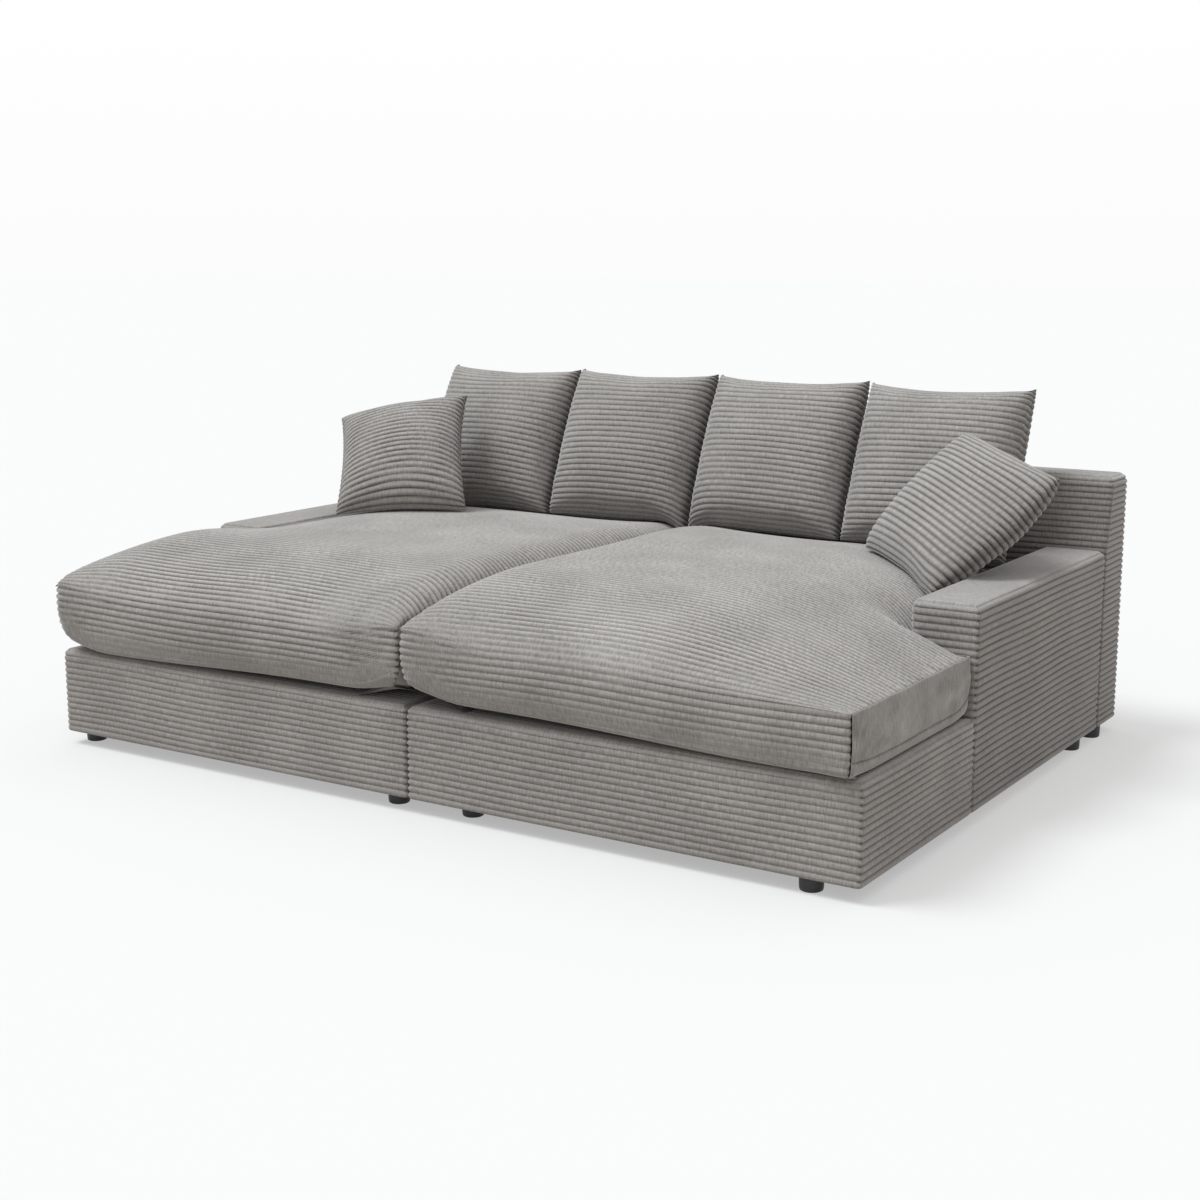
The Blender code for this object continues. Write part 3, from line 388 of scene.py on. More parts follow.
class Cloth:
    """Gathers grids of points and makes one mesh piece of them."""

    def __init__(self, name):
        self.name = name
        self.points = []
        self.levels = []
        self.lengths = []
        self.faces = []
        self.count = 0

    def add(self, points, level, outward, keep=None):
        rows, columns = points.shape[:2]
        index = np.arange(rows * columns).reshape(rows, columns) + self.count
        faces = quads(index, outward)
        if keep is not None:
            faces = faces[keep]
        self.faces.append(faces.reshape(-1, 4))
        self.points.append(points.reshape(-1, 3))
        self.levels.append(level.reshape(-1))
        along, across = np.meshgrid(running_length(points, 1), running_length(points, 0))
        self.lengths.append(np.stack([along, across], axis=-1).reshape(-1, 2))
        self.count += rows * columns

    def make(self, material, slot="corduroy"):
        points = np.concatenate(self.points)
        faces = np.concatenate(self.faces)
        mesh = bpy.data.meshes.new(self.name)
        mesh.from_pydata(points.tolist(), [], faces.tolist())
        # the rib level, which the material turns into painted groove shade and crest highlight
        level = mesh.attributes.new("rib", "FLOAT", "POINT")
        level.data.foreach_set("value", np.concatenate(self.levels).astype(np.float32))
        layer = mesh.uv_layers.new(name="cloth")
        lengths = np.concatenate(self.lengths)[faces.reshape(-1)]
        layer.data.foreach_set("uv", lengths.reshape(-1).astype(np.float32))
        weld(mesh)
        mesh.shade_smooth()
        piece = add_object(self.name, mesh)
        mesh.materials.append(material)
        return piece


def weld(mesh):
    """Joins the points that lie on each other and drops those that no face uses."""
    bm = bmesh.new()
    bm.from_mesh(mesh)
    bmesh.ops.remove_doubles(bm, verts=bm.verts, dist=WELD_REACH)
    loose = [vert for vert in bm.verts if not vert.link_faces]
    bmesh.ops.delete(bm, geom=loose, context="VERTS")
    bm.to_mesh(mesh)
    bm.free()


def graded(low, high, cells, near_low=True):
    """Stations between two values, closer together near the high end, or near both."""
    t = np.linspace(0, 1, cells + 1)
    t = (1 - np.cos(pi * t)) / 2 if near_low else np.sin(pi * t / 2)
    return low + (high - low) * t


# Boxed pieces

def box_plan(corners, radii, seams):
    """A rounded plan outline as points, outward directions and how much each is drawn in.

    corners run anticlockwise. The outline starts and ends in the middle of the last corner's arc.
    """
    points, outward, pinch = [], [], []
    count = len(corners)

    def pinched(index, away):
        return seams[index] * np.exp(-(away / SEAM_WIDTH) ** 2)

    def arc(index, shares):
        here = Vector(corners[index])
        before = (here - Vector(corners[index - 1])).normalized()
        after = (Vector(corners[(index + 1) % count]) - here).normalized()
        first, second = Vector((before.y, -before.x)), Vector((after.y, -after.x))
        turn = first.angle_signed(second) * -1
        radius = radii[index]
        bulge = 1 if turn > 0 else -1
        centre = here - (first + second) * radius * bulge
        for share in shares:
            angle = turn * share
            normal = Vector((first.x * cos(angle) - first.y * sin(angle),
                             first.x * sin(angle) + first.y * cos(angle)))
            points.append(centre + normal * radius * bulge)
            outward.append(normal)
            pinch.append(pinched(index, abs(share - 0.5) * abs(turn) * max(radius, SEAM_WIDTH)))

    def side(index):
        start, end = Vector(corners[index]), Vector(corners[(index + 1) % count])
        along = (end - start).normalized()
        first, last = radii[index], radii[(index + 1) % count]
        spare = (end - start).length - first - last
        cells = max(round(spare / WALL_CELL), 3)
        near = list(WALL_ENDS)
        stations = near + list(np.linspace(near[-1], spare - near[-1], cells + 1))[1:-1]
        stations += [spare - value for value in reversed(near)]
        for station in stations:
            points.append(start + along * (first + station))
            outward.append(Vector((along.y, -along.x)))
            pinch.append(pinched(index, station + first * pi / 4)
                         + pinched((index + 1) % count, spare - station + last * pi / 4))

    arc(count - 1, (0.5, 0.75, 1.0))
    for index in range(count):
        side(index - 1)
        arc(index, (0, 0.25, 0.5) if index == count - 1 else (0, 0.25, 0.5, 0.75, 1.0))
    return np.array(points), np.array(outward), np.array(pinch)


def wall_profile(bottom, top, radius, pitch):
    """Rows up a wall and over its rounded top edge: inset, height and rib phase of each row."""
    straight = top - radius - bottom
    length = straight + radius * pi / 2
    ribs = round(length / pitch)
    phase = rib_phases(ribs)
    run = length * phase / ribs
    angle = np.clip(run - straight, 0, None) / radius
    inset = np.where(angle > 0, radius * (1 - np.cos(angle)), 0)
    height = np.where(angle > 0, top - radius + radius * np.sin(angle), bottom + run)
    return inset, height, phase


def held_inside(xy, corners, inset):
    """Keeps the rows that turn in over the top inside the outline's box, also at its corners."""
    corners = np.array(corners)
    low = corners.min(axis=0) + inset[:, None]
    high = corners.max(axis=0) - inset[:, None]
    return np.clip(xy, low[:, None], high[:, None])


def add_walls(cloth, kind, corners, radii, seams, lean):
    """The ribbed sides of a boxed piece, with a hem below, a rounded edge and a lap above."""
    top, edge = TOPS[kind], TOP_EDGES[kind]
    plan, outward, pinch = box_plan(corners, radii, seams)
    inset, height, phase = wall_profile(BASE_BOTTOM, top, edge, WALL_PITCHES[kind])
    in_front = np.clip(-outward[:, 1], 0, 1)[None, :]

    def placed(draw, inset, height):
        """Rows of the outline, drawn in and at their heights."""
        xy = held_inside(plan[None] - outward[None] * draw[..., None], corners, inset)
        z = np.repeat(height[:, None], len(plan), axis=1)
        points = np.concatenate([xy, z[..., None]], axis=-1)
        if lean:
            points[..., 1] += lean(points)
        return points

    def by_side(values):
        """The first of two values in front, the other elsewhere."""
        at_front, elsewhere = values[kind]
        return elsewhere + (at_front - elsewhere) * in_front

    turned = smooth_step(inset / edge * 3)
    draw = inset[:, None] + pinch[None, :] * SEAM_PINCH * (1 - turned[:, None])
    points = placed(draw, inset, height)
    phases = strayed(phase, points, *WALL_STRAY, WALL_SEEDS[kind])
    relief = 1 - smooth_step((phases - phases.max() + SMOOTH_RIBS) / SMOOTH_RIBS)
    relief *= 1 + SEAM_RELIEF * pinch[None, :]
    normals = np.concatenate([np.repeat(outward[None], len(height), axis=0),
                              np.zeros(points.shape[:2] + (1,))], axis=-1)
    tilt = np.arccos(1 - inset / edge)[:, None]
    normals *= np.cos(tilt)[..., None]
    normals[..., 2] = np.sin(tilt)
    contrast = by_side(WALL_CONTRASTS)
    contrast = contrast + (1 - contrast) * SEAM_CONTRAST * pinch[None, :]
    level = CALM_LEVEL + (rib_shade_and_highlight(phases) - CALM_LEVEL) * np.clip(relief, 0, 1) * contrast
    # painted shade by side, fading out over the rounded top edge
    shade = by_side(WALL_SHADES)
    level = level * (shade + (1 - shade) * np.sin(tilt))
    depth = WALL_RIB_HEIGHT * (1 - crest(phases)) * relief
    points = points - normals * depth[..., None]
    hem = points[:1].copy()
    hem[0, :, :2] -= outward * HEM
    lap_inset = np.array([edge + TOP_LAP])
    lap = placed(lap_inset[:, None], lap_inset, np.array([top - TOP_SINK]))
    level = np.concatenate([level[:1], level, level[-1:]], axis=0)
    cloth.add(np.concatenate([hem, points, lap], axis=0), level, 1)


def add_top(cloth, kind, xs, ys, seed):
    """A level ribbed top between two xs and two ys; its grooves meet the rounded edges' grooves."""
    ribs = max(round((ys[1] - ys[0]) / RIB_PITCH), 1)
    phase = rib_phases(ribs)
    rows = ys[0] + (ys[1] - ys[0]) * phase / ribs
    columns = graded(xs[0], xs[1], max(round((xs[1] - xs[0]) / TOP_CELL), 4))
    x, y = np.meshgrid(columns, rows)
    edge = (x - xs[0]) * (xs[1] - x) * (y - ys[0]) * (ys[1] - y)
    z = TOPS[kind] - TOP_SAGS[kind] * edge / max(edge.max(), 1e-12)
    points = np.stack([x, y, z], axis=-1)
    phases = strayed(phase, points, *WALL_STRAY, seed)
    near = np.minimum(phases, phases.max() - phases) / SMOOTH_RIBS
    points, level = raised(points, phases, 1, relief=TOP_RELIEFS[kind] * smooth_step(near))
    cloth.add(points, level, 1)


def make_cover(side, kind, corners, radii, seams, tops, material, lean=None):
    """A boxed piece: walls round its corners, and tops given as the corners that they lie between.

    Places are (u, y). The corners run anticlockwise on the right module; the left one mirrors it.
    """
    order = slice(None, None, SIDES[side])
    places = [(SIDES[side] * u, y) for u, y in corners]
    cloth = Cloth(f"{side}_{kind}_corduroy")
    add_walls(cloth, kind, places[order], radii[order], seams[order], lean)
    for seed, (us, ys) in zip(TOP_SEEDS[kind], tops):
        add_top(cloth, kind, sorted(SIDES[side] * u for u in us), ys, seed)
    put_in_place(cloth.make(material), f"{side}_{kind}_cover", side + "_chaise")


def make_base(side, material):
    seam, arm, wing = SMALL_GAP, ARM_INNER - SMALL_GAP, ARM_FRONT - SMALL_GAP
    edge = TOP_EDGES["base"]
    corners = [(seam, BASE_FRONT), (MODULE_WIDTH, BASE_FRONT), (MODULE_WIDTH, wing), (arm, wing),
               (arm, BASE_REAR), (seam, BASE_REAR)]
    outer_radius, outer_seam = BASE_CORNERS[side]
    tops = [((seam + edge, arm - edge), (BASE_FRONT + edge, BASE_REAR - edge)),
            ((arm - edge, MODULE_WIDTH - edge), (BASE_FRONT + edge, wing - edge))]
    radii = [CORNER_RADIUS, outer_radius, CORNER_RADIUS / 2] + [CORNER_RADIUS] * 3
    make_cover(side, "base", corners, radii, [1, outer_seam, 0.6, 0, 0, 0], tops, material)


def make_arm(side, material):
    inner, rear, edge = ARM_INNER + SMALL_GAP, BASE_REAR - SMALL_GAP, TOP_EDGES["arm"]
    corners = [(inner, ARM_FRONT), (MODULE_WIDTH, ARM_FRONT), (MODULE_WIDTH, rear), (inner, rear)]
    tops = [((inner + edge, MODULE_WIDTH - edge), (ARM_FRONT + edge, rear - edge))]
    radii = [SOFT_CORNER_RADIUS, CORNER_RADIUS, CORNER_RADIUS / 2, CORNER_RADIUS]
    make_cover(side, "arm", corners, radii, [0.4, 1, 0.6, 0], tops, material)


def back_lean(points):
    """How far the back's face leans at each point: all of it in front, none at the rear."""
    depth = BACK_REAR - BASE_REAR
    share = np.clip((BACK_REAR - points[..., 1]) / depth, 0, 1)
    rise = np.clip((points[..., 2] - ARM_TOP) / (BACK_TOP - ARM_TOP), 0, 1)
    return BACK_RAKE * share * rise


def make_back(side, material):
    seam, edge = SMALL_GAP, TOP_EDGES["back"]
    corners = [(seam, BASE_REAR), (MODULE_WIDTH, BASE_REAR), (MODULE_WIDTH, BACK_REAR),
               (seam, BACK_REAR)]
    leaned = [y + BACK_RAKE * (BACK_REAR - y) / (BACK_REAR - BASE_REAR)
              for y in (BASE_REAR + edge, BACK_REAR - edge)]
    radii = [CORNER_RADIUS, SOFT_CORNER_RADIUS / 2, CORNER_RADIUS, CORNER_RADIUS]
    tops = [((seam + edge, MODULE_WIDTH - edge), leaned)]
    make_cover(side, "back", corners, radii, [0.6, 0.3, 1, 0.6], tops, material, back_lean)


# Seat cushions

class SeatForm:
    """The seat cushion's form, from the same formulas as the part's source."""

    def __init__(self, side):
        self.side = side
        self.inner = CUSHION_GAP
        self.arm = ARM_INNER - CUSHION_GAP
        self.outer = MODULE_WIDTH - EDGE_INSETS[side]
        self.front = BAND_BULGE - SEAT_OVERHANG
        self.wing = ARM_FRONT - BASE_FRONT - CUSHION_GAP
        self.rear = BASE_REAR - BASE_FRONT - CUSHION_GAP
        self.middle = (self.inner + self.arm) / 2

    def at_ends(self, shares, span, power, u, away=0, start=0):
        """A start plus the inner and the outer end's share, each fading out over a span."""
        total = start
        for end, share in zip((self.inner, self.outer), shares[self.side]):
            total = total + share * (1 - np.clip(np.hypot(u - end, away) / span, 0, 1)) ** power
        return total

    def seam(self, u):
        at_inner = 1 - ease(u - self.inner, RISE_REACH)
        at_outer = 1 - ease(self.outer - u, RISE_REACH)
        return (BASE_TOP + SEAM_HEIGHT + INNER_RISE * at_inner + OUTER_RISES[self.side] * at_outer
                - self.at_ends(END_DROOPS, END_DROOP_SPAN, 2, u))

    def crown(self, u, y):
        """How much of the full crown a place has, from 0 at an edge to 1."""
        outer_fall = roll if self.side == "left" else ease
        across = roll(u - self.inner, INNER_ROLL) * outer_fall(self.outer - u,
                                                              OUTER_ROLLS[self.side])
        along = roll(y - self.front, FRONT_ROLL) * roll(self.rear - y, REAR_ROLL)
        return across * along

    def top(self, u, y):
        start = self.wing + ARM_SETBACKS[self.side]
        beside_arm = np.hypot(np.maximum(self.arm - u, 0), np.maximum(start - y, 0))
        drop = ARM_DROPS[self.side] * (1 - ease(beside_arm, ARM_ROLLS[self.side]))
        seam = self.seam(u)
        rise = BASE_TOP + CROWN_HEIGHT - seam
        return np.maximum(seam + rise * self.crown(u, y) - drop, seam)

    def corner_shares(self, u, y):
        """How much a place rises near the two front corners."""
        return self.at_ends(CORNER_RISES, CORNER_SPAN, CORNER_FALL, u, y - self.front)

    def hover(self, u, y):
        """How high the underside's edge stands off the base: in front, most in the corners."""
        first, second = HOVER_SPANS
        along = HOVER * fading((u - first) / (second - first))
        total = self.at_ends(CORNER_HOVERS, CORNER_HOVER_SPAN, CORNER_HOVER_FALL, u, start=along)
        return total * fading((y - self.front) / HOVER_DEPTH)

    def low(self, u, y):
        """Where the band ends and the underside starts to roll in."""
        at_front = fading((y - self.front) / TUCK_FADE)
        return (BASE_TOP + UNDER_LIFT + FRONT_LIFT * at_front + self.hover(u, y)
                + self.corner_shares(u, y))

    def lean(self, u, y):
        """How far the front panel falls back to its lower edge."""
        from_end = np.minimum(u - self.inner, self.outer - u)
        return FRONT_LEAN * fading((y - self.front) / LEAN_FADE) * smooth_step(from_end / LEAN_SPAN)

    def tuck(self, u, y):
        """How far in from the band the underside's edge lies."""
        at_front = fading((y - self.front) / TUCK_FADE)
        rises = self.corner_shares(u, y) / max(CORNER_RISES["left"])
        return UNDERCUT + FRONT_TUCK * at_front + CORNER_TUCK * rises + self.lean(u, y)

    def plan(self, u, y):
        """Plan points with the five outer corners rounded, and the way in from each arc."""
        u, y = np.array(u, float), np.array(y, float)
        inward = np.zeros(u.shape + (2,))
        inner, outer = CUSHION_CORNERS[self.side]
        corners = [(self.inner, self.front, 1, 1, inner), (self.outer, self.front, -1, 1, outer),
                   (self.outer, self.wing, -1, -1, WING_CORNER),
                   (self.arm, self.rear, -1, -1, REAR_CORNER),
                   (self.inner, self.rear, 1, -1, REAR_CORNER)]
        new_u, new_y = u.copy(), y.copy()
        for corner_u, corner_y, step_u, step_y, radius in corners:
            centre_u, centre_y = corner_u + step_u * radius, corner_y + step_y * radius
            along_u, along_y = (centre_u - u) * step_u, (centre_y - y) * step_y
            near = (along_u > 0) & (along_y > 0)
            length = np.maximum(np.hypot(along_u, along_y), 1e-9)
            shrink = np.maximum(along_u, along_y) / length
            new_u = np.where(near, centre_u - step_u * along_u * shrink, new_u)
            new_y = np.where(near, centre_y - step_y * along_y * shrink, new_y)
            inward[..., 0] = np.where(near, step_u * along_u / length, inward[..., 0])
            inward[..., 1] = np.where(near, step_y * along_y / length, inward[..., 1])
        return new_u, new_y, inward

    def drawn_in(self, u, y, inward, draw):
        """Boundary places moved in by draw, in front not past where two sides meet."""
        new_u = np.clip(u + inward[..., 0] * draw, self.inner + draw, self.outer - draw)
        return new_u, np.maximum(y + inward[..., 1] * draw, self.front + draw)

    def placed(self, boundary, draw, z):
        """Boundary places and their ways in, moved in by draw, at height z."""
        return self.world(*self.drawn_in(*boundary, draw), z)

    def world(self, u, y, z):
        return np.stack([SIDES[self.side] * u, BASE_FRONT + y, z + 0 * u], axis=-1)


def seat_rows(form):
    """The rows of the top and front panel, ribs evenly spaced on the line mid way to the arm.

    Each row is (under share, band share, y): rows start under the front edge, climb the band and
    run back over the crown. Only one of the three changes at a time.
    """
    low = form.low(form.middle, form.front)
    edge = BASE_TOP + form.hover(form.middle, form.front)
    share = np.linspace(0, 1, SHARE_CELLS)
    still = 0 * share
    turned = 1 - np.cos(np.linspace(0, pi, DEPTH_CELLS))
    depth = form.front + (form.rear - form.front) * turned / 2
    stages = [(share, still, still + form.front), (still + 1, share, still + form.front),
              (0 * depth + 1, 0 * depth + 1, depth)]
    table = np.concatenate([np.stack(stage, axis=-1) for stage in stages])
    inset = form.tuck(form.middle, form.front) * (1 - np.sin(table[:, 0] * pi / 2))
    height = edge + (low - edge) * (1 - np.cos(table[:, 0] * pi / 2))
    height = height + (form.seam(form.middle) - low) * table[:, 1]
    on_top = table[:, 2] > form.front
    height = np.where(on_top, form.top(form.middle, table[:, 2]), height)
    run = np.concatenate([[0], np.cumsum(np.hypot(np.diff(table[:, 2] + inset), np.diff(height)))])
    ribs = round(run[-1] / RIB_PITCH)
    phase = rib_phases(ribs)
    seam_phase = np.interp(0, on_top - 0.5, run) * ribs / run[-1]
    on_front = np.arange(0, np.floor(seam_phase), 1 / FRONT_ROWS)
    phase = np.concatenate([on_front, phase[phase >= np.floor(seam_phase)]])
    stations = run[-1] * phase / ribs
    columns = [np.interp(stations, run, table[:, index]) for index in range(3)]
    return np.stack(columns, axis=-1), phase


def risen(form, u):
    """How much higher than half way along the front's upper seam lies, in ribs."""
    return (form.seam(u) - form.seam(form.middle)) / RIB_PITCH


def front_seam(form, rows, phase):
    """The last row on the front, and the rib phase of the seam above it half way along."""
    edge = np.flatnonzero(rows[:, 2] <= form.front)[-1]
    rest = 1 - rows[edge, 1]
    height = form.seam(form.middle) - form.low(form.middle, form.front)
    return edge, rest, phase[edge] + rest * height / RIB_PITCH


def level_phases(form, u, points, rows, phase):
    """Rib phases of a panel's points: level on the front, and fanning out behind its upper seam."""
    edge, rest, seam_phase = front_seam(form, rows, phase)
    steps = np.linalg.norm(np.diff(points[:edge + 1], axis=0), axis=-1)
    run = np.concatenate([np.cumsum(steps[::-1], axis=0)[::-1], np.zeros((1, points.shape[1]))])
    plan_u, plan_y, _ = form.plan(u, points[edge, :, 1] - BASE_FRONT)
    run = run + rest * (form.seam(plan_u) - form.low(plan_u, plan_y))
    fan = fading((rows[:, 2] - form.front) / FAN_REACH)
    phases = phase[:, None] + fan[:, None] * risen(form, u)[None, :]
    phases[:edge + 1] = seam_phase + risen(form, plan_u) - run / RIB_PITCH
    return phases


def under_profile(form, u, y, under, band):
    """Height and inset of a place on the band, where under and band run up from the deck."""
    low, seam, lean = form.low(u, y), form.seam(u), form.lean(u, y)
    roll_in = form.tuck(u, y) - lean
    below = BASE_TOP + SMALL_GAP + form.hover(u, y)
    z = below + (low - below) * (1 - np.cos(under * pi / 2)) + (seam - low) * band
    draw = roll_in * (1 - np.sin(under * pi / 2)) - BAND_BULGE * 4 * band * (1 - band)
    return z, draw + lean * (1 - band) ** 2


def spread(us, rows):
    """Each column's u and each row's under share, band share and y, as full grids."""
    u = np.repeat(us[None], len(rows), axis=0)
    return [u] + [np.repeat(column[:, None], len(us), axis=1) for column in rows.T]


def seat_panel(form, us, rows):
    """Points of the top and front panel for the given columns and rows."""
    u, under, band, y = spread(us, rows)
    plan_u, plan_y, inward = form.plan(u, y)
    flat = np.hypot(inward[..., 0], inward[..., 1]) == 0
    inward[..., 1] = np.where(flat, 1, inward[..., 1])
    z, draw = under_profile(form, plan_u, plan_y, under, band)
    on_top = y > form.front
    z = np.where(on_top, form.top(u, y), z)
    drawn_u, drawn_y = form.drawn_in(plan_u, plan_y, inward, draw)
    points = form.world(np.where(on_top, plan_u, drawn_u), np.where(on_top, plan_y, drawn_y), z)
    lumps = soft_noise(points, SEAT_LUMP_SCALE, SEAT_SEEDS[form.side])
    softness = SEAT_LUMPS * form.crown(u, y) * lumps
    points[..., 2] += np.where(on_top, softness, 0)
    return points


def seat_relief(form, points, us, rows):
    """Where the seat's ribs stand full, and where the stretched cloth lets them fade.

    Also gives the shade's level where they have faded.
    """
    u, _, band, y = spread(us, rows)
    patchy = 0.5 + 0.5 * soft_noise(points, *PATCHES)
    start, sway, span = LOW_FRONT
    low_front = fading((band - start - sway * patchy) / span)
    low_front = np.where(y > form.front, 0, low_front)
    at_end = rounded_over(np.minimum(u - form.inner, form.outer - u), LOW_FRONT_END)
    low_front = LOW_FRONT_FADE * low_front * (1 - at_end)
    high, far = CROWN_FADE_STARTS
    crown = smooth_step((form.crown(u, y) - high) / 0.12) * smooth_step((y - far) / 0.45)
    on_crown = CROWN_FADE * crown * np.clip(0.35 + 0.7 * patchy, 0, 1)
    on_front = fading((y - form.front) / FRONT_RELIEF_FADE)
    on_panel = 1 - (1 - FRONT_RELIEFS[form.side]) * on_front * (1 - at_end)
    relief = (1 - low_front) * (1 - on_crown) * on_panel
    return relief, CALM_LEVEL + (DULL_LEVEL - CALM_LEVEL) * smooth_step(low_front / LOW_FRONT_FADE)


def under_lap(edge, way_in):
    """Rows that lead from the rolled edge in under the cushion, to lie on the deck."""
    inner = edge + way_in * UNDERSIDE_LAP
    inner[..., 2] = BASE_TOP + SMALL_GAP
    return [edge + (inner - edge) * share for share in (0.12, 0.4, 1)]


def add_arm_side(cloth, form, points, row, column):
    """Closes the sides towards the arm, from the top's own edges down behind the boxing seam."""
    edge = np.concatenate([points[row, column:][::-1], points[row + 1:, column]])
    on_wing = np.arange(len(edge)) < points.shape[1] - column
    u, y = np.abs(edge[:, 0]), edge[:, 1] - BASE_FRONT
    u = np.where(on_wing, np.minimum(u, form.outer - ARM_SIDE_INSET), form.arm - ARM_SIDE_INSET)
    y = np.where(on_wing, np.minimum(y, form.wing - ARM_SIDE_INSET), y)
    seam = edge.copy()
    seam[:, 2] = np.minimum(form.seam(u), edge[:, 2])
    rows = np.stack([edge, seam, form.world(u, y, form.seam(u) - SEAM_TUCK)])
    cloth.add(rows, np.full(rows.shape[:2], CALM_LEVEL), -SIDES[form.side])


def add_seat_top(cloth, form):
    """The ribbed top and front panel. Gives its outer and inner edges on the front, downward."""
    rows, phase = seat_rows(form)
    inside = graded(form.inner, form.arm, TOP_CELLS[0])
    wing = graded(form.arm, form.outer, TOP_CELLS[1], near_low=False)
    us = np.concatenate([inside, wing[1:]])
    points = seat_panel(form, us, rows)
    relief, calm = seat_relief(form, points, us, rows)
    phases = strayed(level_phases(form, us, points, rows, phase), points, *SEAT_STRAY)
    behind = rows[:, 2] >= form.wing
    from_side = np.minimum(us - form.inner, form.outer - us)[None, :] + 0 * points[..., 0]
    from_arm = np.abs(form.arm - us)[None, :] + 0 * points[..., 0]
    from_side = np.where(behind[:, None], np.minimum(from_side, from_arm), from_side)
    at_inner, at_outer = WRAPPED_CORNERS[form.side]
    wrapped = np.where(us < (form.inner + form.outer) / 2, at_inner, at_outer)[None, :]
    from_front = smooth_step((rows[:, 2] - form.front) / WRAP_FADE)[:, None]
    ends = rounded_over(from_side) * (1 - wrapped * (1 - from_front))
    relief = relief * (1 + END_RELIEF * rounded_over(from_side, END_RELIEF_REACH) * (1 - wrapped))
    dents = PUCKER * np.exp(-(from_side / PUCKER_REACH) ** 2) * np.clip(
        0.3 + soft_noise(points, *PUCKER_NOISE), 0, 1)
    outward = SIDES[form.side]
    points, level = raised(points, phases, outward, SEAT_RIB_HEIGHT, relief, ends, calm, dents)
    on_front = fading((rows[:, 2] - form.front) / FRONT_CONTRAST_FADE)[:, None]
    level = CALM_LEVEL + (level - CALM_LEVEL) * (1 - (1 - FRONT_CONTRASTS[form.side]) * on_front)
    add_arm_side(cloth, form, points, np.flatnonzero(behind)[0], len(inside) - 1)
    lap = under_lap(points[:1], np.array([0, 1, 0]))[::-1]
    points = np.concatenate(lap + [points])
    # The rows under the cushion get the groove's colour: painted shadow.
    level = np.concatenate([level[:1] * 0] * len(lap) + [level])
    in_wing = np.arange(len(us) - 1) >= len(inside) - 1
    behind = np.concatenate([[False] * len(lap), behind[:-1]])
    cloth.add(points, level, outward, ~(behind[:, None] & in_wing[None, :]))
    climbing = np.concatenate([[False] * len(lap), rows[:, 2] <= form.front])
    return points[climbing][::-1, -1], points[climbing][::-1, 0]


def seat_loop(form):
    """The boundary from the front outer corner round the back to the front inner corner."""
    near = np.arange(-3, 4) * BEAD_WIDTH * 0.8 + form.front + BEAD_PLACE
    inner_corner, outer_corner = CUSHION_CORNERS[form.side]
    outer = np.sort(np.append(graded(form.front, form.wing, 40), near + outer_corner))
    inner = np.sort(np.append(graded(form.front, form.rear, 60), near + inner_corner))
    loop = [(form.outer, y, -1, 0) for y in outer]
    loop += [(u, form.wing, 0, -1) for u in graded(form.outer, form.arm, 24)]
    loop += [(form.arm, y, -1, 0) for y in graded(form.wing, form.rear, 30)]
    loop += [(u, form.rear, 0, -1) for u in graded(form.arm, form.inner, 30)]
    loop += [(form.inner, y, 1, 0) for y in inner[::-1]]
    return np.array(loop)


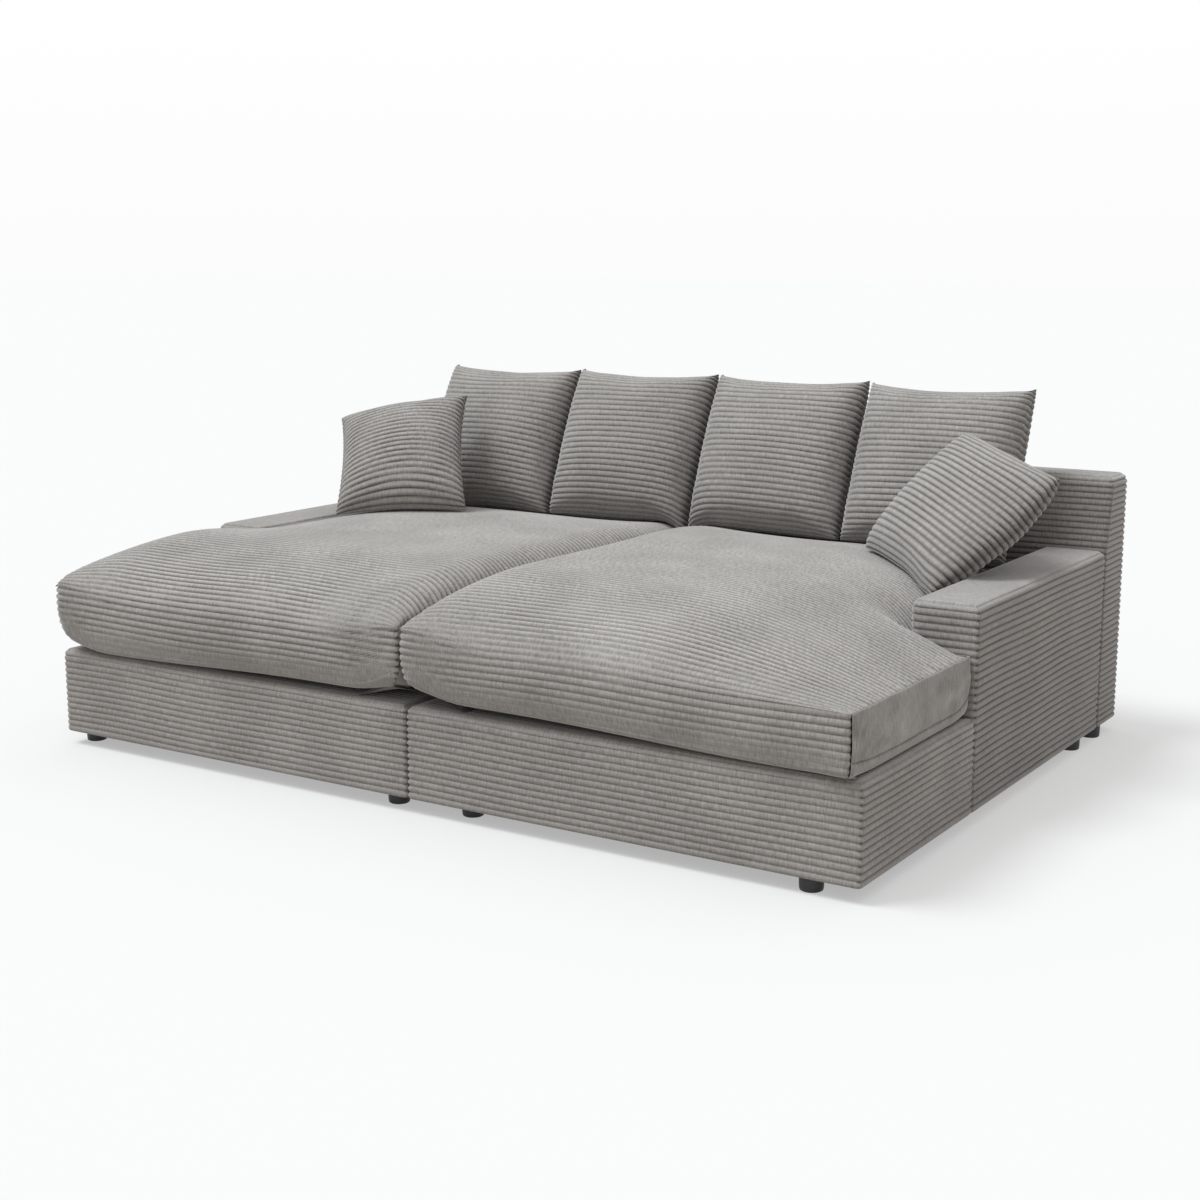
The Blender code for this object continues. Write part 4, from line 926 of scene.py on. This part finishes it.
def add_seat_band(cloth, form, outer_edge, inner_edge):
    """The boxing band, rolling in under the cushion: smooth, with a fold.

    Its ends are the front panel's ribs, which run round the corner to a seam behind it. The panel's
    own edges are handed in, so that the two join without a gap.
    """
    rows, phase = seat_rows(form)
    edge, _, seam_phase = front_seam(form, rows, phase)
    rows = rows[:edge + 1][::-1].copy()
    rows[0, 1] = 1
    loop = seat_loop(form)
    u, y = loop[:, 0], loop[:, 1]
    plan_u, plan_y, inward = form.plan(u, y)
    flat = np.hypot(inward[:, 0], inward[:, 1]) == 0
    inward = np.where(flat[:, None], loop[:, 2:], inward)
    wing_corner = np.hypot(form.outer - plan_u, form.wing - plan_y)
    raised_corner = WING_LIFT * (1 - ease(wing_corner, WING_LIFT_SPAN))
    at_inner, at_outer = WRAPPED_CORNERS[form.side]
    inner_corner, outer_corner = CUSHION_CORNERS[form.side]
    wrapped = np.where(u <= form.inner, at_inner, np.where(u >= form.outer, at_outer, 0))
    corner = np.where(u <= form.inner, inner_corner, outer_corner)
    from_bead = y - form.front - corner - BEAD_PLACE
    ribbed = (wrapped * fading(from_bead / BEAD_WIDTH + 0.5))[None]
    bead = (wrapped * np.exp(-(from_bead / BEAD_WIDTH) ** 2))[None]
    under, band = rows[:, 0][:, None], rows[:, 1][:, None]
    z, draw = under_profile(form, plan_u[None], plan_y[None], under, band)
    z = z + raised_corner[None] * (1 - band) * (1 - np.cos(under * pi / 2))
    boundary = (plan_u[None], plan_y[None], inward[None])
    plain = form.placed(boundary, draw, z)
    sway = FOLD_SWAY * soft_noise(plain, *FOLD_NOISE)
    fold = np.exp(-((band - FOLD_SHARE - sway) / FOLD_WIDTH) ** 2) * (1 - ribbed)
    loose = (1 - ribbed) * np.sqrt(np.clip(4 * band * (1 - band), 0, 1))
    small, large = (soft_noise(plain, *noise) for noise in CREASE_NOISES)
    creases = 0.6 * small + large
    draw = draw + FOLD_DEPTH * fold + CREASE_DEPTH * creases * loose
    place = form.placed(boundary, draw, z)
    steps = np.linalg.norm(np.diff(place, axis=0), axis=-1)
    run = np.concatenate([np.zeros((1, len(u))), np.cumsum(steps, axis=0)])
    phases = seam_phase + risen(form, plan_u)[None] - run / RIB_PITCH
    phases = strayed(phases, place, *SEAT_STRAY, phase.max())
    groove = (1 - crest(phases)) * ribbed
    draw = draw + SEAT_RIB_HEIGHT * groove * np.sin(under * pi / 2) + BEAD_DEPTH * bead
    z = z + SEAT_RIB_HEIGHT * groove * np.cos(under * pi / 2)
    level = CALM_LEVEL + (rib_shade_and_highlight(phases) - CALM_LEVEL) * ribbed
    # Painted shade in the fold, at the bead and in the creases' hollows, painted light on their
    # ridges.
    level = level - CREASE_SHADE * creases * loose
    level = np.clip(level * (1 - FOLD_SHADE * fold) * (1 - BEAD_SHADE * bead), 0, 1)
    points = form.placed(boundary, draw, z)
    if at_outer:
        points[1:, 0] = outer_edge[1:]
    if at_inner:
        points[1:, -1] = inner_edge[1:]
    way_in = np.stack([SIDES[form.side] * inward[:, 0], inward[:, 1], 0 * u], axis=-1)
    lap = under_lap(points[-1:], way_in)
    points = np.concatenate([points[:1] + way_in * SEAM_TUCK, points] + lap)
    # The tucked top row and the rows under the cushion get the groove's colour: painted shadow.
    level = np.concatenate([level[:1] * 0, level] + [level[-1:] * 0] * len(lap))
    cloth.add(points, level, -SIDES[form.side])


def add_seat_underside(cloth, form):
    """The flat sheet that lies on the deck, inside the rolled-in edge."""
    inset = UNDERCUT + UNDERSIDE_LAP * 0.9
    blocks = [((form.inner + inset, form.arm - inset), form.rear - inset),
              ((form.arm - inset, form.outer - inset), form.wing - inset)]
    for us, y_high in blocks:
        u, y = np.meshgrid(np.linspace(*us, UNDERSIDE_CELLS),
                           np.linspace(form.front + inset, y_high, UNDERSIDE_CELLS))
        points = form.world(u, y, BASE_TOP + SMALL_GAP * 1.5)
        cloth.add(points, np.full(u.shape, 0.5), -SIDES[form.side])


def make_seat(side, material):
    form = SeatForm(side)
    cloth = Cloth(side + "_seat_corduroy")
    outer_edge, inner_edge = add_seat_top(cloth, form)
    add_seat_band(cloth, form, outer_edge, inner_edge)
    add_seat_underside(cloth, form)
    put_in_place(cloth.make(material), side + "_seat_cushion", side + "_seat_cushion")


# Pillows

def pillow_sheet(s, t, direction, sizes, crowns, pulls, droop, outer, shear=0.0, bulge=(0.0, 0.0)):
    """One swollen sheet of a pillow in its own frame, facing -Y or +Y.

    pulls are how far the sides, the top and the bottom are drawn in half way along, and bulge is
    how far the outer side stands out and back there.
    """
    width, height = sizes
    index = 0 if direction < 0 else 1
    blunt = 1 - PILLOW_BLUNT * np.abs(s * t) ** 12
    bulging = np.clip(outer * s, 0, 1) ** 2 * (1 - t * t)
    x = s * width / 2 * (1 - pulls[0] * (1 - t * t)) * blunt
    x = x + shear * width * (1 + s * t) / 2 + outer * bulge[0] * bulging
    drawn = np.where(t > 0, pulls[1], pulls[-1])
    z = t * height / 2 * (1 - drawn * (1 - s * s)) * blunt
    z = z - droop * (1 + outer * s) / 2 * (1 + t) / 2
    full = np.sqrt(np.clip(1 - s * s, 0, 1)) * np.sqrt(np.clip(1 - t * t, 0, 1))
    y = direction * (PILLOW_EDGE * np.sqrt(full) + crowns[index] * full ** PILLOW_FULLNESS[index])
    return np.stack([x, y + bulge[1] * bulging, z], axis=-1)


def stuffed(name, sheets):
    """Swells two coarse sheets, sewn at their edges, by cloth simulation. Gives new sheets."""
    side = len(sheets[0])
    front = np.arange(side * side).reshape(side, side)
    rear = front + side * side
    rear[0], rear[-1], rear[:, 0], rear[:, -1] = front[0], front[-1], front[:, 0], front[:, -1]
    faces = np.concatenate([quads(front, 1).reshape(-1, 4), quads(rear, -1).reshape(-1, 4)])
    pad = np.concatenate([sheet.reshape(-1, 3) for sheet in sheets])
    pad[:, 1] *= STUFFING_SHRINK
    mesh = bpy.data.meshes.new(name + "_pad")
    mesh.from_pydata(pad.tolist(), [], faces.tolist())
    pad_object = add_object(name + "_pad", mesh)
    settings = pad_object.modifiers.new("Cloth", "CLOTH").settings
    for setting, value in STUFFING_CLOTH.items():
        setattr(settings, setting, value)
    settings.effector_weights.gravity = 0
    scene = bpy.context.scene
    for number in range(1, STUFFING_FRAMES + 1):
        scene.frame_set(number)
    moved = pad_object.evaluated_get(bpy.context.evaluated_depsgraph_get()).data
    end = np.zeros(len(moved.vertices) * 3, np.float32)
    moved.vertices.foreach_get("co", end)
    end = end.reshape(-1, 3).astype(float)
    scene.frame_set(1)
    bpy.data.objects.remove(pad_object)
    results = []
    for index, sheet, direction in ((front, sheets[0], -1), (rear, sheets[1], 1)):
        shift = end[index] - sheet
        out = np.clip(shift[..., 1] * direction, -STUFFING_IN, STUFFING_OUT) * direction
        shift = np.clip(shift, -STUFFING_SLIDE, STUFFING_SLIDE)
        shift[..., 1] = out
        results.append(sheet + smoothed(shift))
    return results


def smoothed(values, rounds=2):
    """A grid of values, each blended with its four neighbours."""
    for _ in range(rounds):
        padded = np.pad(values, ((1, 1), (1, 1), (0, 0)), mode="edge")
        values = (padded[1:-1, 1:-1] * 4 + padded[:-2, 1:-1] + padded[2:, 1:-1]
                  + padded[1:-1, :-2] + padded[1:-1, 2:]) / 8
    return values


def resampled(values, places, axis):
    """Smooth cubic resampling of a grid along one axis at fractional places."""
    values = np.moveaxis(values, axis, 0)
    count = values.shape[0]
    base = np.clip(np.floor(places).astype(int), 0, count - 2)
    part = (places - base).reshape((-1,) + (1,) * (values.ndim - 1))
    before = values[np.clip(base - 1, 0, count - 1)]
    here, after = values[base], values[base + 1]
    beyond = values[np.clip(base + 2, 0, count - 1)]
    result = here + 0.5 * part * (after - before + part * (
        2 * before - 5 * here + 4 * after - beyond + part * (3 * (here - after) + beyond - before)))
    return np.moveaxis(result, 0, axis)


def settled(points, side):
    """Lowers a pillow's bottom edge on to the seat, and keeps the rest clear above the cushion."""
    form = SeatForm(side)
    place = SIDES[side] * points[..., 0]
    u = np.clip(place, form.inner, form.outer)
    y = np.clip(points[..., 1] - BASE_FRONT, form.front, form.rear)
    over_seat = (place < form.arm) | (y < form.wing)
    low_down = np.clip(1 - np.linspace(0, 1, len(points)) / SETTLE_SHARE, 0, 1)[:, None]
    clear = points[..., 2] - form.top(u, y) - SETTLE_GAP
    drop = np.where(over_seat[:1], np.clip(clear[:1], 0, SETTLE), 0)
    points[..., 2] -= drop * low_down ** 2
    clear = points[..., 2] - form.top(u, y) - SETTLE_GAP - SETTLE_MARGIN
    points[..., 2] += np.where(over_seat, np.clip(-clear, 0, None), 0) * low_down ** 0.5
    return points


def make_pillow(name, side, material, turn, seed, sizes, crowns, pulls, droop=0.0, outer=1,
                shear=0.0, bulge=(0.0, 0.0), arch=0.0, contrast=1.0, shade=1.0):
    """A ribbed pillow: stuffed on a coarse grid, then laid out in ribs and sewn all round."""
    places = -np.cos(pi * np.arange(STUFFING_CELLS + 1) / STUFFING_CELLS)
    s, t = np.meshgrid(places, places)
    form = (sizes, crowns, pulls, droop, outer)
    plain = [pillow_sheet(s, t, direction, *form) for direction in (-1, 1)]
    sheets = [pillow_sheet(s, t, direction, *form, shear, bulge) for direction in (-1, 1)]
    sheets = stuffed(name, sheets)

    run = running_length(sheets[0], 0)
    ribs = round(run[-1] / RIB_PITCH)
    phase = rib_phases(ribs)
    row_places = np.interp(run[-1] * phase / ribs, run, np.arange(STUFFING_CELLS + 1))
    column_places = np.linspace(0, STUFFING_CELLS, PILLOW_COLUMNS)
    across = -np.cos(pi * column_places / STUFFING_CELLS)
    rise = 2 * (phase / ribs) - 1
    bend = arch * ribs / 2 * (1 - across[None, :] ** 2) * (1 - rise[:, None] ** 2)
    rotation = np.array(Euler(turn, TURN_ORDER).to_matrix())
    low, high = (np.array(corner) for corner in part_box(name))
    shape = np.concatenate([sheet.reshape(-1, 3) for sheet in plain]) @ rotation.T
    centre = (low + high) / 2 - (shape.min(axis=0) + shape.max(axis=0)) / 2
    grids, levels = [], []
    for sheet, outward in zip(sheets, (1, -1)):
        fine = resampled(resampled(sheet, row_places, 0), column_places, 1)
        fine = settled(fine @ rotation.T + centre, side)
        lumps = soft_noise(fine, LUMP_SCALE, PILLOW_SEEDS[1] + seed)[..., None]
        fine = fine + unit(grid_normals(fine, outward)) * LUMP_HEIGHT * lumps * (
            1 - across[None, :, None] ** 2)
        phases = strayed(phase, fine, *PILLOW_STRAY, PILLOW_SEEDS[0] + seed) - bend
        from_edge = np.minimum(1 + across, 1 - across)[None, :] * sizes[0] / 2 + 0 * phases
        grid, level = raised(fine, phases, outward, ends=rounded_over(from_edge, PILLOW_END_ROUND))
        from_corner = np.clip(2 * np.minimum(phase, ribs - phase), 0, 1)[:, None]
        near_edge = np.exp(-(from_edge / SCALLOP_REACH) ** 2)
        drawn = SCALLOP * (1 - crest(phases)) * near_edge * from_corner
        grids.append(grid - (drawn * np.sign(across)[None, :])[..., None] * rotation[:, 0])
        # The last factor darkens the throws' whole colour: painted shade.
        levels.append((CALM_LEVEL + (level - CALM_LEVEL) * contrast) * shade)
    border = np.ones(grids[0].shape[:2] + (1,), bool)
    border[1:-1, 1:-1] = False
    sewn = (grids[0] + grids[1]) / 2
    cloth = Cloth(name + "_corduroy")
    for grid, level, outward in zip(grids, levels, (1, -1)):
        cloth.add(np.where(border, sewn, grid), level, outward)
    put_in_place(cloth.make(material), name, name)


def make_pillows(side, material):
    """The two back pillows, from the seam outward, and the throw pillow."""
    outward = SIDES[side]
    for index in (1, 2):
        make_pillow(f"{side}_back_pillow_{index}", side, material, (-PILLOW_LEAN, 0, 0),
                    index + outward, (PILLOW_WIDTH, PILLOW_HEIGHT), PILLOW_CROWNS,
                    PILLOW_PULL_SHARES, contrast=PILLOW_CONTRAST)
    make_pillow(side + "_throw_pillow", side, material, THROW_TURNS[side], 5 + outward,
                [THROW_SIZES[side]] * 2, THROW_CROWNS, THROW_PULL_SHARES[side], THROW_DROOPS[side],
                outward, THROW_SHEARS[side], THROW_BULGES[side], THROW_ARCHES[side],
                shade=THROW_SHADE)


# Feet and dust covers

def make_feet(material):
    """Each foot as a smooth turned form with softened edges, in the CAD foot's place."""
    for node in frame["nodes"]:
        if not node.endswith("_foot"):
            continue
        low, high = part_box(node)
        radius = (high.x - low.x) / 2
        middle = (low + high) / 2
        mesh = bpy.data.meshes.new(node + "_turned")
        bm = bmesh.new()
        verts = [bm.verts.new((middle.x + share * radius, middle.y, low.z + up * (high.z - low.z)))
                 for share, up in FOOT_PROFILE]
        edges = [bm.edges.new(pair) for pair in zip(verts, verts[1:])]
        bmesh.ops.spin(bm, geom=verts + edges, cent=middle, axis=(0, 0, 1), angle=2 * pi,
                       steps=FOOT_STEPS, use_merge=True)
        bmesh.ops.remove_doubles(bm, verts=bm.verts, dist=WELD_REACH)
        bmesh.ops.recalc_face_normals(bm, faces=bm.faces)
        bm.to_mesh(mesh)
        bm.free()
        mesh.shade_smooth()
        mesh.set_sharp_from_angle(angle=FOOT_SHARP)
        mesh.materials.append(material)
        foot = add_object(node + "_turned", mesh)
        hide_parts(node)
        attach(foot, "left_chaise" if node.startswith("left") else "right_chaise")


def make_dust_cover(side, material):
    """The black cloth under the base, stapled round its edge and slack between."""
    low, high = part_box(side + "_dust_cover")
    inner, outer = sorted((abs(low.x), abs(high.x)))
    arm = ARM_INNER - (MODULE_WIDTH - outer)
    wing = ARM_FRONT - (MODULE_WIDTH - outer)
    us = np.concatenate([np.linspace(inner, arm, 40), np.linspace(arm, outer, 9)[1:]])
    ys = np.concatenate([np.linspace(low.y, wing, 30), np.linspace(wing, high.y, 40)[1:]])
    u, y = np.meshgrid(us, ys)
    inset = np.minimum.reduce([u - inner, outer - u, y - low.y, high.y - y])
    z = low.z + DUST_LIFT - DUST_SAG * np.clip(inset / DUST_SAG_REACH, 0, 1) ** 2
    points = np.stack([SIDES[side] * u, y, z], axis=-1)
    wrinkles = soft_noise(points, DUST_WRINKLE_SCALE, DUST_SEED)
    points[..., 2] += DUST_WRINKLE * np.clip(inset / DUST_WRINKLE_REACH, 0, 1) * wrinkles
    keep = ~((y[:-1, :-1] >= wing - 1e-6) & (u[:-1, :-1] >= arm - 1e-6))
    cloth = Cloth(side + "_dust_cloth")
    cloth.add(points, np.ones(u.shape), -SIDES[side], keep)
    piece = cloth.make(material, "dust_cloth")
    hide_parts(side + "_dust_cover")
    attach(piece, side + "_chaise")


# Materials

class Nodes:
    """Short hands for building the nodes of a material or the world."""

    def __init__(self, owner):
        owner.use_nodes = True
        self.owner = owner
        self.tree = owner.node_tree

    def fill(self, made, **inputs):
        """Sets or links a node's inputs, given by name, or by number as i0, i1 and so on."""
        for key, value in inputs.items():
            numbered = key[0] == "i" and key[1:].isdigit()
            socket = made.inputs[int(key[1:]) if numbered else key.replace("_", " ")]
            if isinstance(value, bpy.types.NodeSocket):
                self.tree.links.new(value, socket)
            else:
                socket.default_value = value
        return made

    def node(self, kind, settings=None, **inputs):
        made = self.tree.nodes.new("ShaderNode" + kind)
        for key, value in (settings or {}).items():
            setattr(made, key, value)
        return self.fill(made, **inputs)

    def maths(self, operation, first, second):
        return self.node("Math", {"operation": operation}, i0=first, i1=second).outputs[0]

    def seen_apart(self, kind, plain, seen):
        """Ends a tree: seen is for the camera, also in metal or glass, plain for the rest."""
        path = self.node("LightPath").outputs
        rays = self.maths("MAXIMUM", path["Is Camera Ray"], path["Is Glossy Ray"])
        rays = self.maths("MAXIMUM", rays, path["Is Transmission Ray"])
        choose = self.node("MixShader", i0=rays, i1=plain.outputs[0], i2=seen.outputs[0])
        self.node("Output" + kind, Surface=choose.outputs[0])


class Shader(Nodes):
    """A Principled material."""

    def __init__(self, name):
        super().__init__(bpy.data.materials.new(name))
        self.principled = self.tree.nodes["Principled BSDF"]
        self.place = self.node("TexCoord").outputs["Object"]

    def stretched(self, coordinates, scale):
        return self.node("Mapping", Vector=coordinates, Scale=scale).outputs[0]

    def noise(self, coordinates, scale, detail=3.0, roughness=0.5):
        return self.node("TexNoise", Vector=coordinates, Scale=scale, Detail=detail,
                         Roughness=roughness).outputs["Fac"]

    def ramp(self, factor, *stops):
        """Colours at places along a factor."""
        made = self.node("ValToRGB", Fac=factor)
        elements = made.color_ramp.elements
        for index, (place, colour) in ((0, stops[0]), (1, stops[-1])):
            elements[index].position, elements[index].color = place, (*colour, 1)
        for place, colour in stops[1:-1]:
            elements.new(place).color = (*colour, 1)
        return made.outputs["Color"]

    def mixed(self, factor, first, second, blend):
        return self.node("Mix", {"data_type": "RGBA", "blend_type": blend}, i0=factor, i6=first,
                         i7=second).outputs[2]

    def weighed(self, *parts):
        """The sum of factors, each times its weight."""
        products = [self.maths("MULTIPLY", factor, weight) for factor, weight in parts]
        total = products[0]
        for product in products[1:]:
            total = self.maths("ADD", total, product)
        return total

    def ended(self, colour, height, strength, distance, **values):
        """The finished material, with a bump from a height and the other values by their names."""
        bump = self.node("Bump", Strength=strength, Distance=distance, Height=height)
        self.fill(self.principled, Base_Color=colour, Normal=bump.outputs[0], **values)
        return self.owner


def corduroy_material():
    """Velvety pile on ribs: painted groove shade and crest highlights, a fine cross weave, soft
    blotches.
    """
    shader = Shader("corduroy")
    cloth = shader.node("UVMap", {"uv_map": "cloth"}).outputs[0]
    level = shader.node("Attribute", {"attribute_name": "rib"}).outputs["Fac"]
    # painted shade in the grooves and a painted highlight on the crests, from the rib level
    ribs = shader.ramp(level, (0.0, GROOVE_SHADE_COLOUR), (0.30, FLANK_COLOUR), (1.0, CREST_HIGHLIGHT_COLOUR))
    blotches = shader.noise(shader.place, 5.0, 4.0, 0.55)
    tone = shader.ramp(blotches, (0.32, (0.90, 0.893, 0.886)), (0.68, (1.10, 1.094, 1.088)))
    weft = shader.noise(shader.stretched(cloth, (230.0, 42.0, 1.0)), 1.0, 2.0)
    warp = shader.noise(shader.stretched(cloth, (60.0, 330.0, 1.0)), 1.0, 2.0)
    pile = shader.noise(shader.place, 520.0, 3.0, 0.7)
    grain = shader.weighed((weft, 0.50), (warp, 0.20), (pile, 0.30))
    fine = shader.ramp(grain, (0.36, (0.74,) * 3), (0.64, (1.24,) * 3))
    colour = shader.mixed(1.0, shader.mixed(1.0, ribs, tone, "MULTIPLY"), fine, "MULTIPLY")
    return shader.ended(colour, grain, 0.55, 0.0014, Roughness=0.92, Specular_IOR_Level=0.12,
                        Sheen_Weight=1.0, Sheen_Roughness=0.32, Sheen_Tint=(0.93, 0.93, 0.92, 1))


def plastic_material():
    """Black moulded plastic with a fine spark-eroded grain and scuffs."""
    shader = Shader("foot_plastic")
    scuffs = shader.noise(shader.stretched(shader.place, (60.0, 60.0, 400.0)), 1.0, 4.0, 0.6)
    colour = shader.ramp(scuffs, (0.45, (0.012, 0.012, 0.013)), (0.85, (0.045, 0.044, 0.043)))
    rough = shader.ramp(scuffs, (0.3, (0.34,) * 3), (0.8, (0.60,) * 3))
    grain = shader.noise(shader.place, 2200.0, 2.0)
    return shader.ended(colour, grain, 0.25, 0.0002, Roughness=rough)


def dust_cloth_material():
    """Black spun-bonded cloth: a point-bonded grid and loose fibres."""
    shader = Shader("dust_cloth")
    dots = shader.node("TexVoronoi", {"feature": "F1"}, Vector=shader.place, Scale=420.0,
                       Randomness=0.15).outputs["Distance"]
    fibres = shader.noise(shader.place, 700.0, 5.0, 0.7)
    height = shader.maths("ADD", dots, shader.maths("MULTIPLY", fibres, 0.5))
    colour = shader.ramp(height, (0.2, (0.010, 0.010, 0.011)), (0.9, (0.040, 0.040, 0.042)))
    return shader.ended(colour, height, 0.4, 0.0003, Roughness=0.88, Sheen_Weight=0.1)


def wood_material(name, dark, light, ring_scale):
    """Sawn wood: growth rings stretched along the grain, fibres and pores."""
    shader = Shader(name)
    warped = shader.node("TexNoise", Vector=shader.place, Scale=3.0, Detail=2.0).outputs["Color"]
    bent = shader.mixed(0.06, shader.stretched(shader.place, (0.6, 5.0, 5.0)), warped, "ADD")
    rings = shader.node("TexWave", {"wave_type": "BANDS", "bands_direction": "Y"},
                        Vector=bent, Scale=ring_scale, Distortion=3.0, Detail=3.0).outputs["Fac"]
    fibres = shader.noise(shader.stretched(shader.place, (20.0, 900.0, 900.0)), 1.0, 3.0)
    colour = shader.ramp(shader.weighed((rings, 0.7), (fibres, 0.3)), (0.2, dark), (0.8, light))
    return shader.ended(colour, fibres, 0.2, 0.0004, Roughness=0.65)


def steel_material(name, dark, light, smooth, dull):
    """Bare or plated steel with drawing marks and dull spots."""
    shader = Shader(name)
    spots = shader.noise(shader.place, 60.0, 4.0, 0.6)
    marks = shader.noise(shader.stretched(shader.place, (40.0, 1500.0, 1500.0)), 1.0, 2.0)
    rough = shader.ramp(spots, (0.3, (smooth,) * 3), (0.7, (dull,) * 3))
    return shader.ended(shader.ramp(spots, (0.35, dark), (0.7, light)), marks, 0.15, 0.0002,
                        Roughness=rough, Metallic=1.0)


def felt_material():
    """Needled felt with flecks."""
    shader = Shader("felt")
    flecks = shader.noise(shader.place, 300.0, 5.0, 0.7)
    colour = shader.ramp(flecks, (0.35, (0.52, 0.50, 0.47)), (0.65, (0.84, 0.82, 0.78)))
    return shader.ended(colour, flecks, 0.5, 0.0010, Roughness=0.95, Sheen_Weight=0.2)


def dress_hidden_nodes():
    """The CAD pieces inside keep their shape and get their own procedural finish."""
    finishes = {
        "timber": wood_material("timber", (0.42, 0.27, 0.14), (0.72, 0.55, 0.34), 3.0),
        "plywood": wood_material("plywood", (0.50, 0.36, 0.21), (0.78, 0.63, 0.44), 1.6),
        "spring_steel": steel_material("spring_steel", (0.16, 0.16, 0.17), (0.42, 0.42, 0.43),
                                       0.28, 0.48),
        "zinc_steel": steel_material("zinc_steel", (0.45, 0.45, 0.44), (0.68, 0.68, 0.66),
                                     0.30, 0.52),
        "felt": felt_material(),
    }
    slots = {part["node"]: part["material_slot"] for part in frame["record"]["subparts"]}
    for name, node in frame["nodes"].items():
        if slots[name] in finishes:
            node.data.materials.clear()
            node.data.materials.append(finishes[slots[name]])


# Stage

def make_floor():
    """A floor whose colour is paler to the camera, and which keeps the object's shadow."""
    mesh = bpy.data.meshes.new("studio_floor")
    bm = bmesh.new()
    bmesh.ops.create_grid(bm, x_segments=1, y_segments=1, size=FLOOR_SIZE)
    bm.to_mesh(mesh)
    bm.free()
    floor = add_object("studio_floor", mesh)
    shader = Nodes(bpy.data.materials.new("studio_floor"))
    shader.tree.nodes.clear()
    plain = shader.node("BsdfDiffuse", Color=(*FLOOR_COLOUR, 1))
    pale = shader.node("BsdfDiffuse", Color=(*FLOOR_SEEN, 1))
    glow = shader.node("Emission", Strength=FLOOR_LIFT)
    both = shader.node("AddShader", i0=pale.outputs[0], i1=glow.outputs[0])
    shader.seen_apart("Material", plain, both)
    mesh.materials.append(shader.owner)


def make_world():
    """Light from above, and a plain bright wall behind for the camera."""
    world = bpy.data.worlds.new("studio")
    bpy.context.scene.world = world
    shader = Nodes(world)
    shader.tree.nodes.clear()
    place = shader.node("TexCoord").outputs["Generated"]
    up = shader.node("SeparateXYZ", i0=place).outputs["Z"]

    def sky(interpolation, low, high, dark, light):
        """Light that grows from dark to light between two heights of the way out."""
        rise = shader.node("MapRange", {"interpolation_type": interpolation}, Value=up,
                           From_Min=low, From_Max=high, To_Min=dark, To_Max=light)
        return shader.node("Background", Color=(1, 1, 1, 1), Strength=rise.outputs[0])

    shader.seen_apart("World", sky("SMOOTHSTEP", *SKY_LIGHT), sky("LINEAR", *SKY_SEEN))


def add_sun(name, direction, strength, spread, colour):
    """A broad sun that shines from a direction, given as the way towards it."""
    lamp = bpy.data.lights.new(name, "SUN")
    lamp.energy = strength
    lamp.color = colour
    lamp.angle = radians(spread)
    add_object(name, lamp).rotation_euler = Vector(direction).to_track_quat("Z", "Y").to_euler()


def make_camera():
    data = bpy.data.cameras.new("camera")
    data.lens = CAMERA_LENS
    data.sensor_width = CAMERA_SENSOR
    camera = add_object("camera", data)
    camera.location = CAMERA_PLACE
    camera.rotation_euler = (pi / 2 + CAMERA_PITCH, 0, CAMERA_YAW)
    bpy.context.scene.camera = camera


def main():
    corduroy = corduroy_material()
    for side in SIDES:
        for make in (make_base, make_arm, make_back, make_seat, make_pillows):
            make(side, corduroy)
        make_dust_cover(side, dust_cloth_material())
    make_feet(plastic_material())
    dress_hidden_nodes()
    make_floor()
    make_world()
    for sun in SUNS:
        add_sun(*sun)
    make_camera()
    bpy.context.scene.view_settings.view_transform = "Standard"


main()
